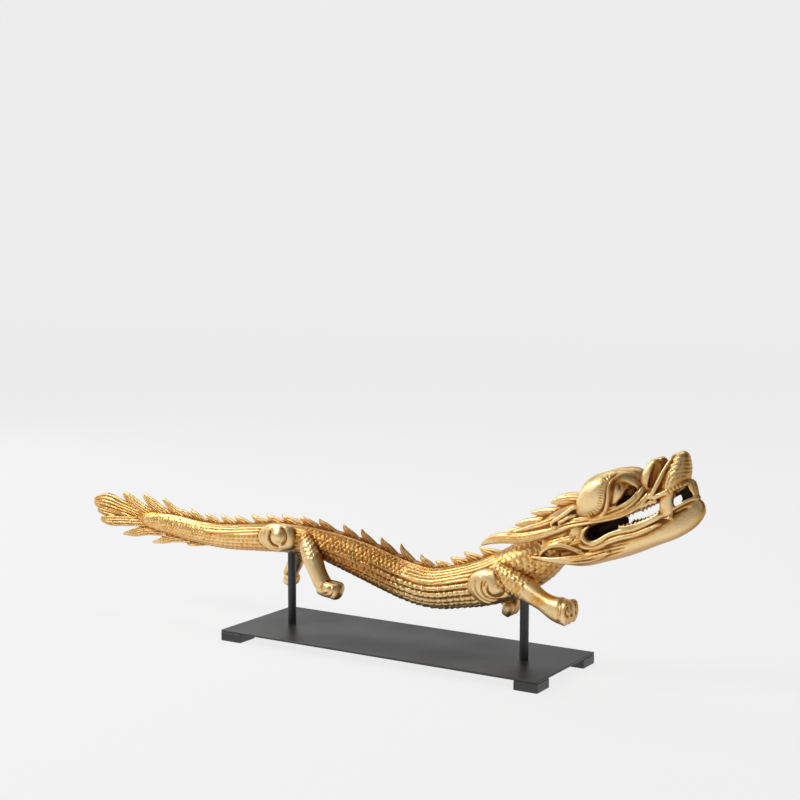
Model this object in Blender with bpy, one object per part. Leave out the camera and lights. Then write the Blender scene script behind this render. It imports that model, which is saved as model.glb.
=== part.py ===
"""A gilt carved dragon, nose up and tail out straight, held over a black steel stand by two round rods.

Run it with: blender --background --python part.py

World axes: X runs along the dragon towards its head, Y is depth with the viewer's side at -Y, Z is up.
The carving is laid out on a grid whose unit is CARVING_UNIT. Grid x is counted from midway between the
rods, grid y from the dragon's middle plane, and grid z upward.
"""

import bpy
import math
import numpy as np

# Sizes of the stand, in metres
PLATE_LENGTH = 0.500
PLATE_WIDTH = 0.172
PLATE_THICKNESS = 0.003
FOOT_SIDE = 0.034
FOOT_HEIGHT = 0.0122
ROD_RADIUS = 0.006
ROD_SPACING = 0.375
SOCKET_DEPTH = 0.022
BELLY_OVER_PLATE = 0.055
EDGE_ROUND = 0.0006
FIT_GAP = 0.0003

# The carving's scale: one grid step is a millimetre on a dragon about a metre long
CARVING_UNIT = 0.001

# How finely the solids are faceted
BODY_RINGS = 38
ROD_SIDES = 24
CARVING_DETAIL = 0.48

PLATE_BOTTOM = FOOT_HEIGHT + FIT_GAP
PLATE_TOP = PLATE_BOTTOM + PLATE_THICKNESS

# The body from the tail to the nape: grid x, y, z, half height, half width, and how far its belly rows stand out
BODY = [
    (-500, 0, 144.0, 5.0, 4.0, 0.02),
    (-480, 0, 144.5, 9.0, 6.0, 0.03),
    (-450, 0, 143.0, 14.0, 9.0, 0.04),
    (-400, 0, 139.5, 18.0, 13.0, 0.05),
    (-350, 0, 134.0, 18.5, 15.5, 0.06),
    (-300, 0, 133.0, 19.5, 17.5, 0.06),
    (-250, 0, 137.0, 21.0, 19.0, 0.05),
    (-200, 0, 141.0, 22.0, 20.5, 0.04),
    (-150, 0, 141.5, 21.5, 21.5, 0.04),
    (-100, 0, 132.5, 25.0, 22.5, 0.05),
    (-50, 0, 120.0, 27.5, 23.5, 0.06),
    (0, 0, 106.0, 27.5, 24.5, 0.09),
    (50, 0, 98.5, 27.5, 25.5, 0.11),
    (100, 0, 107.0, 29.0, 26.5, 0.10),
    (140, 0, 117.5, 32.0, 27.0, 0.05),
    (175, 0, 134.0, 33.0, 27.0, 0.03),
    (207, 0, 155.0, 32.0, 24.0, 0.03),
    (238, 0, 182.0, 25.0, 20.0, 0.03),
]

# Fins along the back, each by its tip: grid x, height over the back line
FIN_TIPS = [
    (-402, 7), (-378, 12), (-347, 11), (-317, 12), (-290, 12), (-257, 12), (-230, 12), (-203, 11), (-172, 11),
    (-143, 11), (-107, 12), (-78, 14), (-46, 12), (-16, 16), (21, 12), (53, 9), (84, 12), (106, 15), (133, 16),
]
FIN_LENGTH = 36.0
FIN_ROOT = 9.0
FIN_THICKNESS = 4.2
# Thigh and shoulder swells: centre x, y and z, radius and half length
HIP = (-200, -20, 143, 20, 31)
SHOULDER = (148, -25, 115, 24, 32)


def smooth(rows, count):
    """Pass a smooth curve through rows of numbers, whose first three are a place, and return count even steps of it."""
    rows = np.array(rows, float)
    gap = np.linalg.norm(np.diff(rows[:, :3], axis=0), axis=1)
    reached = np.concatenate([[0.0], np.cumsum(gap)])
    slope = np.diff(rows, axis=0) / gap[:, None]
    lean = np.vstack([slope[:1], slope[-1:]]) if len(rows) == 2 else np.vstack([
        slope[:1],
        (slope[:-1] * gap[1:, None] + slope[1:] * gap[:-1, None]) / (gap[1:] + gap[:-1])[:, None],
        slope[-1:],
    ])
    at = np.linspace(0, reached[-1], count)
    k = np.clip(np.searchsorted(reached, at, side="right") - 1, 0, len(gap) - 1)
    g = gap[k][:, None]
    u = (at - reached[k])[:, None] / g
    return (
        (1 + 2 * u) * (1 - u) ** 2 * rows[k]
        + u * (1 - u) ** 2 * g * lean[k]
        + u * u * (3 - 2 * u) * rows[k + 1]
        + u * u * (u - 1) * g * lean[k + 1]
    )


def carving_lift():
    """How far the carving's grid stands above the floor, for the belly's lowest point to clear the plate."""
    lowest = min(z - half for x, y, z, half, width, rows in BODY)
    return PLATE_TOP + BELLY_OVER_PLATE - lowest * CARVING_UNIT


def shell(name, rings):
    """A closed mesh from a stack of closed rings, with a point in the middle of each end."""
    count, sides = rings.shape[:2]
    points = np.vstack([rings.reshape(-1, 3), rings[0].mean(0), rings[-1].mean(0)])
    start, end = count * sides, count * sides + 1
    faces = []
    for side in range(sides):
        following = (side + 1) % sides
        for ring in range(count - 1):
            low, high = ring * sides, (ring + 1) * sides
            faces.append((low + side, low + following, high + following))
            faces.append((low + side, high + following, high + side))
        last = (count - 1) * sides
        faces.append((start, following, side))
        faces.append((end, last + side, last + following))
    mesh = bpy.data.meshes.new(name)
    mesh.from_pydata((points * CARVING_UNIT).tolist(), [], faces)
    mesh.update()
    a, b, c = (points[[f[i] for f in faces]] - points.mean(0) for i in range(3))
    if np.einsum("ij,ij->i", a, np.cross(b, c)).sum() < 0:
        mesh.flip_normals()
    piece = bpy.data.objects.new(name, mesh)
    piece.location.z = carving_lift()
    bpy.context.scene.collection.objects.link(piece)
    return piece


def round_section(sides, power=2.0):
    """A unit outline: a circle at power 2, and squarer above it."""
    angle = 2 * np.pi * (np.arange(sides) + 0.5) / sides
    c, s = np.cos(angle), np.sin(angle)
    return np.sign(c) * abs(c) ** (2 / power), np.sign(s) * abs(s) ** (2 / power)


def leaf_section():
    """A flat unit outline with a groove down the middle of each face, as a carved leaf or lock has."""
    half = [(1.0, 0.0), (0.55, 0.92), (0.0, 0.55), (-0.55, 0.92)]
    outline = np.array(half + [(-u, -v) for u, v in half])
    return outline[:, 0], outline[:, 1]


def blunt_ends(path, start, end):
    """Close a path's section to a round end over the given grid lengths."""
    run = np.concatenate([[0.0], np.cumsum(np.linalg.norm(np.diff(path[:, :3], axis=0), axis=1))])
    shrink = np.ones(len(path))
    if start:
        shrink *= np.sqrt(np.clip(1 - (1 - np.minimum(run / start, 1)) ** 2, 0.02, 1))
    if end:
        shrink *= np.sqrt(np.clip(1 - (1 - np.minimum((run[-1] - run) / end, 1)) ** 2, 0.02, 1))
    path = path.copy()
    path[:, 3:5] *= shrink[:, None]
    return path


def loft(name, stations, rings, section, flat=(0, 1, 0), blunt=(0, 0)):
    """A closed shape along a smooth path. A station is x, y, z, half width, half depth, with depth along flat."""
    path = blunt_ends(smooth(stations, rings), *blunt)
    ahead = np.gradient(path[:, :3], axis=0)
    ahead /= np.linalg.norm(ahead, axis=1)[:, None]
    flat = np.array(flat, float)
    deep = flat - (ahead @ flat)[:, None] * ahead
    deep /= np.linalg.norm(deep, axis=1)[:, None]
    across = np.cross(ahead, deep)
    u, v = section
    return shell(name, (
        path[:, None, :3]
        + across[:, None] * (path[:, 3:4] * u)[..., None]
        + deep[:, None] * (path[:, 4:5] * v)[..., None]
    ))


def mirrored(stations):
    return [(s[0], -s[1], *s[2:]) for s in stations]


def both_sides(name, stations, *rest, **more):
    """The same shape on the viewer's side and on the far side."""
    return [
        loft(name + "_near", stations, *rest, **more),
        loft(name + "_far", mirrored(stations), *rest, **more),
    ]


def body_frame(x):
    """The body's centre, half height and upward direction at a grid x."""
    path = smooth(BODY, 400)
    k = int(np.argmin(abs(path[:, 0] - x)))
    ahead = path[min(k + 1, 399), :3] - path[max(k - 1, 0), :3]
    ahead /= np.linalg.norm(ahead)
    return path[k, :3], path[k, 3], ahead, np.array([-ahead[2], 0.0, ahead[0]])


def body():
    """The trunk, with a raised band down the back and rows of belly plates that lap downward."""
    path = smooth(BODY, BODY_RINGS)
    ahead = np.gradient(path[:, :3], axis=0)
    ahead /= np.linalg.norm(ahead, axis=1)[:, None]
    up = np.stack([-ahead[:, 2], ahead[:, 1], ahead[:, 0]], 1)
    band = [(10, 1.09, 0), (15, 0.98, 0), (38, 1.0, 0), (62, 1.0, 0)]
    rows = []
    for edge in (78, 96, 114, 132, 150):
        rows += [(edge, 0.99, -0.4), (edge + 14.5, 0.99, 1.0)]
    half = band + rows
    outline = half + [(-a, r, rib) for a, r, rib in reversed(half)]
    angle = np.radians([o[0] for o in outline])
    reach = np.array([o[1] for o in outline]) + path[:, 5:6] * np.array([o[2] for o in outline])
    return shell("body", (
        path[:, None, :3]
        + up[:, None] * (path[:, 3:4] * reach * np.cos(angle))[..., None]
        + np.array([0.0, 1.0, 0.0]) * (path[:, 4:5] * reach * np.sin(angle))[..., None]
    ))


def fins():
    """Saw-toothed fins along the back, their tips towards the tail."""
    pieces = []
    for number, (x, height) in enumerate(FIN_TIPS):
        centre, half, ahead, up = body_frame(x)
        tip = centre + up * (half + height)
        middle = centre + ahead * FIN_LENGTH * 0.38 + up * (half + height * 0.30)
        root = centre + ahead * FIN_LENGTH * 0.80 + up * (half - FIN_ROOT * 0.45)
        pieces.append(loft(f"fin_{number}", [
            (*root, FIN_ROOT * 0.75, FIN_THICKNESS),
            (*middle, FIN_ROOT * 0.90, FIN_THICKNESS * 0.85),
            (*tip, 0.8, 0.8),
        ], 4, leaf_section()))
    return pieces


def tail():
    """The tail's spray of leaves."""
    leaves = {
        "end": [(-470, 0, 146, 6, 5), (-508, 0, 155, 12, 5.5), (-540, 0, 161, 15.5, 5), (-567, 0, 161, 5, 2)],
        "under_1": [(-465, -3, 141, 5, 5), (-505, -4, 136, 8, 5), (-532, -4, 134, 8, 4), (-551, -4, 135, 2, 1.5)],
        "under_2": [(-425, 0, 128, 8, 6), (-460, 0, 125, 8, 5), (-485, 0, 119, 6.5, 4), (-509, 0, 115, 1, 1)],
        "under_3": [(-380, 0, 121, 6, 6), (-408, 0, 118, 6.5, 5), (-430, 0, 112, 5, 4), (-450, 0, 107.5, 1, 1)],
        "under_4": [(-340, 0, 118, 4, 6), (-365, 0, 114, 4, 5), (-382, 0, 111, 1.5, 2)],
        "over_1": [(-452, 0, 150, 6, 5), (-474, 0, 160, 8.5, 5), (-493, 0, 170, 8, 4), (-507, 0, 179, 3, 1.5)],
        "over_2": [(-420, 0, 152, 6, 5), (-438, 0, 162, 7.5, 5), (-454, 0, 171, 7.5, 4), (-466, 0, 180, 3, 1.5)],
        "over_3": [(-386, 0, 153, 5, 5), (-404, 0, 161, 6, 4), (-418, 0, 169, 5.5, 3), (-428, 0, 176, 2, 1)],
    }
    return [loft("leaf_" + name, stations, 5, leaf_section()) for name, stations in leaves.items()]


def leg(name, joints, reach, side):
    """A leg through its joints, ending in a paw whose three toes reach out by the given step in x and z."""
    flip = -1 if side == "near" else 1
    stations = [(x, flip * y, z, width, width * 0.85) for x, y, z, width in joints]
    pieces = [loft(name, stations, 8, round_section(8, 2.3), blunt=(0, 7))]
    x, y, z, width = joints[-1]
    along, down = reach
    for number, spread in enumerate((-0.72, 0.0, 0.72)):
        toe = [
            (x + along * s, flip * y + spread * width * (0.8 + 0.25 * s), z + down * s, *size)
            for s, size in ((0.0, (9.0, 6.0)), (0.6, (9.5, 6.5)), (1.0, (8.0, 5.5)))
        ]
        pieces.append(loft(f"{name}_toe_{number}", toe, 5, round_section(6), blunt=(0, 5)))
    return pieces


def legs():
    """Four legs, each stepping in its own place."""
    return (
        leg("hind_near", [
            (-154, 15, 146, 12), (-140, 24, 133, 13.5), (-128, 31, 118, 14), (-118, 35, 104, 12.5), (-108, 37, 91, 12.5),
            (-100, 37, 86, 12),
        ], (21, -3), "near")
        + leg("hind_far", [
            (-204, 18, 140, 15), (-198, 24, 122, 14), (-201, 29, 102, 12), (-212, 33, 84, 11), (-218, 34, 73, 11),
        ], (14, -3), "far")
        + leg("fore_near", [
            (158, 18, 132, 18), (186, 25, 124, 17), (212, 32, 115, 14.5), (234, 38, 107, 12.5),
            (252, 41, 101, 15.5), (266, 42, 99, 18.5),
        ], (12, -1), "near")
        + leg("fore_far", [
            (156, 18, 122, 17), (156, 26, 106, 15), (150, 33, 90, 13), (144, 37, 76, 14.5),
        ], (13, -4), "far")
    )


def haunch(name, x, y, z, radius, length):
    """A rounded thigh or shoulder on each side, with a boss that a ridge curls round."""
    swell = [
        (x - length, y + 6, z - 4, radius * 0.40, 6),
        (x - length * 0.45, y + 2, z - 2, radius * 0.86, 9),
        (x + length * 0.10, y, z + 1, radius, 10),
        (x + length * 0.55, y + 1, z + 1, radius * 0.85, 9),
        (x + length * 0.95, y + 4, z + 1, radius * 0.5, 7),
    ]
    ball = radius * 0.5
    knob_x = x + radius * 0.35
    knob = [(knob_x - ball, y - 6, z, ball, ball * 0.55), (knob_x + ball, y - 6, z, ball, ball * 0.55)]
    turn = np.radians(np.linspace(85, 320, 7))
    curl = [
        (knob_x + radius * 0.80 * math.cos(a), y - 7, z + radius * 0.80 * math.sin(a), 2.4, 4.0)
        for a in turn
    ]
    return (
        both_sides(name, swell, 7, round_section(10), blunt=(5, 6))
        + both_sides(name + "_boss", knob, 5, round_section(8), blunt=(ball, ball))
        + both_sides(name + "_curl", curl, 9, round_section(5), blunt=(3, 3))
    )


def skull():
    """Upper jaw and brow, lower jaw, tongue and the bands round the mouth."""
    pieces = [
        loft("upper_jaw", [
            (214, 0, 176, 20, 19), (245, 0, 198, 24, 25), (280, 0, 218, 21, 27), (310, 0, 233, 17.5, 26),
            (345, 0, 246, 16, 22), (375, 0, 259, 13.5, 17), (394, 0, 270, 9, 13),
        ], 11, round_section(12, 2.6), blunt=(8, 6)),
        loft("lower_jaw", [
            (244, 0, 162, 11, 20), (275, 0, 169, 17, 24), (300, 0, 179, 19, 25), (330, 0, 190, 19.5, 24),
            (365, 0, 205, 18.5, 20), (395, 0, 219, 18, 15), (412, 0, 230.5, 16.5, 11), (425, 0, 244, 12.5, 7),
            (430, 0, 248, 10, 5),
        ], 13, round_section(12, 2.5), blunt=(8, 8)),
        loft("tongue", [(268, 0, 190, 12, 14), (300, 0, 205, 10, 14), (333, 0, 219, 6, 11)], 5,
             round_section(6), blunt=(0, 6)),
        loft("nose_bridge", [
            (262, 0, 226, 14, 14), (290, 0, 243, 16, 14), (320, 0, 257, 14, 13), (345, 0, 267, 10, 11),
            (372, 0, 275, 7, 8),
        ], 7, round_section(8), blunt=(8, 6)),
    ]
    upper_lip = [
        (268, -28, 209, 4.5, 5), (290, -28, 214.5, 4, 5), (312, -27, 220, 4, 5), (332, -25, 226.5, 4, 5),
        (348, -22.5, 235, 4, 5), (359, -20.5, 245, 4, 4.5), (368, -19, 257, 3, 4),
    ]
    jowl = [
        (262, -25, 212, 4, 5), (285, -28, 217, 4.5, 5), (306, -28, 223, 4.5, 5), (326, -26, 231, 4.5, 5.5),
        (342, -23.5, 240, 4.5, 6), (353, -21, 251, 4, 5.5), (360, -18, 263, 3.5, 5),
    ]
    cheek = [
        (296, -27, 221, 2.5, 5), (316, -28, 231, 4, 6), (333, -26, 240, 4, 6.5), (345, -23, 249, 3.5, 6),
        (352, -20, 259, 3, 5),
    ]
    lower_lip = [
        (292, -27, 208, 2.8, 4), (284, -28, 203, 3, 4), (282, -28.5, 196, 3, 4), (287, -28.5, 189, 3, 4),
        (296, -28, 188, 3, 4), (306, -27, 193, 3, 4), (318, -26, 201, 3, 4), (334, -24.5, 207, 3, 4),
        (350, -22.5, 212, 3, 4), (366, -20.5, 220, 3, 4), (381, -18.5, 229, 3, 4), (400, -14, 241.4, 3, 4),
        (418, -6, 251.7, 3, 4), (425, -2, 253, 2.5, 3),
    ]
    lower_teeth = [(328, -22, 209, 3.2, 4), (352, -20.5, 216, 3.4, 4), (368, -19, 223.5, 3.4, 4), (381, -17, 232, 3, 4)]
    upper_teeth = [(340, -22, 229, 3, 4), (356, -20, 237.5, 3, 4), (367, -18.5, 243.5, 3, 4), (378, -17, 247, 3, 4)]
    for name, stations, rings in (
        ("upper_lip", upper_lip, 9), ("jowl", jowl, 9), ("cheek", cheek, 7), ("lower_lip", lower_lip, 18),
        ("lower_teeth", lower_teeth, 5), ("upper_teeth", upper_teeth, 5),
    ):
        pieces += both_sides(name, stations, rings, round_section(6), blunt=(4, 4))
    return pieces


def eyes():
    """Great rounded brows that curl over the eyeballs, with a fold of lid between them."""
    brow = [
        (272, -17, 221, 8, 9), (283, -20, 233, 16, 16), (296, -21, 247, 21.5, 20), (309, -20, 259, 20.5, 20),
        (323, -18, 268, 14, 16), (337, -17, 272, 9.5, 12), (348, -16, 267, 7, 9), (353, -16, 259, 3.5, 6),
    ]
    fold = [
        (331, -27, 275, 2.4, 4), (324, -31, 271, 3, 5), (320.5, -33.5, 262, 3, 6), (320, -34, 250, 3, 6),
        (318, -33, 239, 3, 6), (313, -30, 229, 3, 5), (304, -28, 222, 2.5, 4),
    ]
    ball_x, ball_y, ball_z, ball = 328, -25, 258, 10.5
    eyeball = [(ball_x - ball, ball_y, ball_z, ball, ball), (ball_x + ball, ball_y, ball_z, ball, ball)]
    return (
        both_sides("brow", brow, 11, round_section(10), blunt=(6, 4))
        + both_sides("lid_fold", fold, 9, round_section(6), blunt=(3, 3))
        + both_sides("eyeball", eyeball, 6, round_section(8), blunt=(ball, ball))
    )


def lip_shield():
    """The upper lip curled up at the front, a leaning cone with wrinkles that follow the mouth's edge."""
    sides, rings = 14, 9
    angle = 2 * np.pi * (np.arange(sides) + 0.5) / sides
    outlines = []
    for (x, z), lean, length, width in (
        ((392, 262), math.radians(33), 24.0, 20.0),
        ((395, 283), math.radians(17), 22.0, 22.0),
        ((402.5, 309), 0.0, 3.5, 5.0),
    ):
        along = np.array([math.cos(lean), 0, math.sin(lean)])
        outlines.append(
            np.array([x, 0, z]) + np.outer(length * np.cos(angle), along) + np.outer(width * np.sin(angle), (0, 1, 0))
        )
    stack = []
    for number in range(rings):
        t = number / (rings - 1)
        ring = (1 - t) ** 2 * outlines[0] + 2 * t * (1 - t) * outlines[1] + t * t * outlines[2]
        wrinkle = 1 + (0.045 if number % 2 else -0.02)
        stack.append(ring.mean(0) + (ring - ring.mean(0)) * wrinkle)
    return shell("lip_shield", np.array(stack))


def snout():
    """The upturned lip, its rims, the nostril cups behind it and the gums and teeth under it."""
    rim = [
        (367, -19, 248, 3.4, 4.5), (372, -19, 257, 3.4, 4.5), (377.5, -18, 269, 3.4, 4.5), (383.5, -15, 283, 3.2, 4.5),
        (389, -11, 294, 3, 4), (394, -6, 302.5, 2.6, 4), (398, -2, 306, 2, 3),
    ]
    cup = [
        (358, -11, 255, 8, 7), (363, -12, 269, 10.5, 7.5), (368, -11, 283, 10.5, 7), (373, -9, 293, 8, 6),
        (376, -8, 298, 4, 4),
    ]
    gum = [
        (371, -19, 250, 3.5, 4), (381, -18.5, 255, 3.4, 4), (390.5, -17.5, 260, 3.2, 4), (399.5, -15, 264.6, 3.1, 4),
        (407, -11, 268.4, 3, 4), (412, -6, 271, 3, 4),
    ]
    canine = [(389, -15, 261, 9, 5), (389, -16, 247, 9, 4.5), (388, -15, 226, 8.5, 4.5)]
    fang = [(413.5, -5, 271, 4.4, 4), (417, -5, 263, 4.2, 3.6), (421, -4, 252, 2.6, 3)]
    return (
        [lip_shield()]
        + both_sides("rim", rim, 8, round_section(6), blunt=(3, 3))
        + both_sides("nostril", cup, 7, leaf_section(), blunt=(0, 3))
        + both_sides("gum", gum, 7, round_section(6), blunt=(3, 3))
        + both_sides("canine", canine, 4, round_section(6, 3))
        + both_sides("fang", fang, 4, round_section(5))
    )


def mane():
    """Ears, horn locks, the crest behind the brow, and the beard."""
    locks = {
        "horn": [(290, -25, 216, 3.5, 5), (262, -27, 206, 4.5, 5.5), (240, -28, 197.5, 5.5, 6),
                 (220, -28, 190.5, 6.5, 6), (203, -27, 185.5, 7, 6), (186, -26, 182.5, 7.2, 5.5),
                 (168, -25, 181, 7.4, 5), (150, -24, 176.5, 6, 4), (134, -22, 167, 1.4, 2)],
        "brow_lock": [(268, -22, 226, 4.5, 6), (250, -24, 215, 6, 6), (228, -25, 204.5, 5.6, 5),
                      (207, -24, 197.5, 4.4, 4.5), (190, -23, 192, 3.2, 4), (174, -22, 188, 1.4, 2)],
        "cheek_lock": [(286, -25, 196, 6, 5), (268, -28, 189, 7, 5), (246, -28, 182, 6, 4.5), (222, -26, 175, 1.5, 2)],
        "mouth_corner": [(262, -24, 200, 12, 7), (276, -25, 199, 12, 6), (284, -24, 198, 9, 5)],
        "jaw_lock": [(286, -24, 171, 4, 5), (272, -26.5, 177.5, 4, 5.5), (256, -28, 181, 3.8, 6),
                     (240, -28, 178.5, 3.4, 6), (229, -27, 172, 3, 5), (221, -26, 163, 1.4, 2.5)],
        "beard": [(318, -22, 180, 5, 4), (296, -24.5, 171, 7, 5), (272, -26, 164, 6.4, 5), (246, -26, 160, 4.6, 4),
                  (208, -25, 160, 1.4, 2)],
        "ear": [(284, -24, 232, 3, 4), (271, -28, 231, 3.4, 5), (260, -29, 223, 3.6, 5), (250, -30, 215.5, 3.4, 4.5),
                (242, -30, 208, 2, 3.6)],
    }
    crest = {
        "crest_1": [(280, 0, 236, 8, 8), (258, 0, 235, 11, 8), (240, 0, 233, 8, 6), (223, 0, 229, 1.5, 2)],
        "crest_2": [(255, 0, 220, 8, 7), (236, 0, 216, 9, 7), (213, 0, 215, 6, 5), (195, 0, 213, 1.5, 2)],
        "crest_3": [(232, 0, 203, 8, 7), (212, 0, 201, 9, 7), (190, 0, 199, 6, 5), (172, 0, 195, 1.5, 2)],
        "crest_4": [(215, 0, 190, 8, 7), (200, 0, 187, 8, 7), (180, 0, 186, 5, 5), (160, 0, 184, 1.5, 2)],
    }
    pieces = []
    for name, stations in locks.items():
        pieces += both_sides(name, stations, 2 + len(stations), leaf_section())
    pieces += [loft(name, stations, 5, leaf_section()) for name, stations in crest.items()]
    return pieces


def material(name, colour, roughness, metallic):
    made = bpy.data.materials.new(name)
    made.use_nodes = True
    shader = made.node_tree.nodes["Principled BSDF"]
    shader.inputs["Base Color"].default_value = (*colour, 1)
    shader.inputs["Roughness"].default_value = roughness
    shader.inputs["Metallic"].default_value = metallic
    return made


def guide(piece):
    """Mark a piece as a tool of the modelling and not of the object."""
    piece.hide_render = True
    piece.display_type = "WIRE"


def boolean(target, operation, tools):
    """Join a group of closed shapes to the target, or cut them from it."""
    group = bpy.data.collections.new(f"{target.name}_{operation.lower()}")
    bpy.context.scene.collection.children.link(group)
    for tool in tools:
        bpy.context.scene.collection.objects.unlink(tool)
        group.objects.link(tool)
        guide(tool)
    step = target.modifiers.new(operation.lower(), "BOOLEAN")
    step.operation = operation
    step.operand_type = "COLLECTION"
    step.collection = group
    step.solver = "EXACT"


def cylinder(name, radius, low, high, x):
    """An upright round bar with its ends at the heights low and high."""
    angle = 2 * np.pi * np.arange(ROD_SIDES) / ROD_SIDES
    ring = [(radius * math.cos(a), radius * math.sin(a)) for a in angle]
    points = [(u, v, z) for z in (low, high) for u, v in ring]
    n = ROD_SIDES
    faces = [(k, (k + 1) % n, n + (k + 1) % n, n + k) for k in range(n)]
    faces += [tuple(reversed(range(n))), tuple(range(n, 2 * n))]
    mesh = bpy.data.meshes.new(name)
    mesh.from_pydata(points, [], faces)
    mesh.update()
    piece = bpy.data.objects.new(name, mesh)
    piece.location.x = x
    bpy.context.scene.collection.objects.link(piece)
    return piece


def box(name, size, centre):
    """A plain block with slightly broken edges."""
    bpy.ops.mesh.primitive_cube_add(size=1)
    piece = bpy.context.object
    piece.name = piece.data.name = name
    for vertex in piece.data.vertices:
        vertex.co = [c * s for c, s in zip(vertex.co, size)]
    piece.location = centre
    edge = piece.modifiers.new("edges", "BEVEL")
    edge.width = EDGE_ROUND
    edge.segments = 1
    return piece


def belly_points():
    """Grid points along the middle of the body's underside."""
    path = smooth(BODY, 400)
    ahead = np.gradient(path[:, :3], axis=0)
    ahead /= np.linalg.norm(ahead, axis=1)[:, None]
    down = np.stack([ahead[:, 2], ahead[:, 1], -ahead[:, 0]], 1)
    return path[:, :3] + down * path[:, 3:4]


def belly_height(x):
    """World height of the carving's underside at a world distance x from midway between the rods."""
    under = belly_points() * CARVING_UNIT
    return carving_lift() + float(np.interp(x, under[:, 0], under[:, 2]))


def main():
    for old in list(bpy.data.objects):
        bpy.data.objects.remove(old)
    gold = material("gilt_wood", (0.78, 0.52, 0.20), 0.38, 0.9)
    steel = material("black_steel", (0.028, 0.030, 0.031), 0.5, 0.3)

    dragon = body()
    dragon.name = dragon.data.name = "dragon"
    boolean(dragon, "UNION", (
        fins() + tail() + legs() + haunch("hip", *HIP) + haunch("shoulder", *SHOULDER)
        + skull() + eyes() + snout() + mane()
    ))

    rods, sockets = [], []
    for name, side in (("rod_rear", -1), ("rod_front", 1)):
        x = side * ROD_SPACING / 2
        bottom = PLATE_TOP + FIT_GAP
        top = belly_height(x) + SOCKET_DEPTH
        rods.append(cylinder(name, ROD_RADIUS, bottom, top, x))
        sockets.append(cylinder(name + "_socket", ROD_RADIUS + FIT_GAP, bottom, top + FIT_GAP, x))
    merge = dragon.modifiers.new("merge", "DECIMATE")
    merge.ratio = CARVING_DETAIL
    boolean(dragon, "DIFFERENCE", sockets)

    plate = box("base_plate", (PLATE_LENGTH, PLATE_WIDTH, PLATE_THICKNESS), (0, 0, PLATE_TOP - PLATE_THICKNESS / 2))
    feet = []
    for end, along in (("tail", -1), ("head", 1)):
        for depth, across in (("near", -1), ("far", 1)):
            feet.append(box(
                f"foot_{end}_{depth}", (FOOT_SIDE, FOOT_SIDE, FOOT_HEIGHT),
                (along * (PLATE_LENGTH - FOOT_SIDE) / 2, across * (PLATE_WIDTH - FOOT_SIDE) / 2, FOOT_HEIGHT / 2),
            ))

    dragon.data.materials.append(gold)
    for piece in [plate, *rods, *feet]:
        piece.data.materials.append(steel)
    for rod in rods:
        rod.data.shade_smooth()
        rod.data.set_sharp_from_angle(angle=math.radians(40))

    centre_on_floor([dragon, plate, *rods, *feet])


def centre_on_floor(pieces):
    """Hang everything on one empty that puts the middle of the whole footprint at the origin."""
    bpy.context.view_layer.update()
    graph = bpy.context.evaluated_depsgraph_get()
    corners = np.array([
        piece.matrix_world @ vertex.co
        for piece in pieces
        for vertex in piece.evaluated_get(graph).data.vertices
    ])
    middle = (corners.min(0) + corners.max(0)) / 2
    root = bpy.data.objects.new("dragon_on_stand", None)
    bpy.context.scene.collection.objects.link(root)
    for piece in list(bpy.data.objects):
        if piece.type == "MESH":
            piece.parent = root
    root.location = (-middle[0], -middle[1], 0)
    bpy.context.view_layer.update()


main()
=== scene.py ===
"""The looks of the gilt carved dragon and its black steel stand.

The carving is laid out on the same millimetre grid as its solid: grid x from midway between the rods towards
the head, grid y from the dragon's middle plane with the viewer's side at -y, grid z upward.
Shapes are lofted with their relief at high density, melted into one skin and thinned to a light mesh.
"""

import math

import bpy
import numpy as np
from mathutils import Matrix, Vector


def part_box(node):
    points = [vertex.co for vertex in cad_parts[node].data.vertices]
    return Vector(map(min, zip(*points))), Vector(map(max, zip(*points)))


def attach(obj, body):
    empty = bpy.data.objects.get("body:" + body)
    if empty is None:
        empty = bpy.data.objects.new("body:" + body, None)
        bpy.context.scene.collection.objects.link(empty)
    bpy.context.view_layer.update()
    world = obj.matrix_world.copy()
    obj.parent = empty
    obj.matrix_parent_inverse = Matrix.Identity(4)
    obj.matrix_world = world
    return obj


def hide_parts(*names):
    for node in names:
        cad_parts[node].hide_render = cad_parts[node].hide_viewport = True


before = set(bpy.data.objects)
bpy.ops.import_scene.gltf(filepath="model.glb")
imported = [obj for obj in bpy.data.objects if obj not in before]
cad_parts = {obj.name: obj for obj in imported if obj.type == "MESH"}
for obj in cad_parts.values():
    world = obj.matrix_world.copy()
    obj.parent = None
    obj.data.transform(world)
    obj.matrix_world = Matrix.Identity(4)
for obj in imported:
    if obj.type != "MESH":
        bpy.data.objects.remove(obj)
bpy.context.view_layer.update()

# How the carving's grid sits on the stand
GRID = 0.001
BELLY_GRID_Z = 71.0
BELLY_OVER_PLATE = 0.055
PLATE_LOW, PLATE_HIGH = (Vector(corner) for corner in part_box("base_plate"))
PLATE_MIDDLE = (PLATE_LOW + PLATE_HIGH) / 2
GRID_ORIGIN = np.array([
    PLATE_MIDDLE.x,
    PLATE_MIDDLE.y,
    PLATE_HIGH.z + BELLY_OVER_PLATE - BELLY_GRID_Z * GRID,
])

# How finely the skin is made, in grid steps and triangles
VOXEL = 0.75
HEAD_VOXEL = 0.6
TRIANGLES = 190000

# Curves and sections


def run_along(path):
    """The distance along a path that each of its points has reached."""
    return np.concatenate([[0.0], np.cumsum(np.linalg.norm(np.diff(path[:, :3], axis=0), axis=1))])


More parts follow.
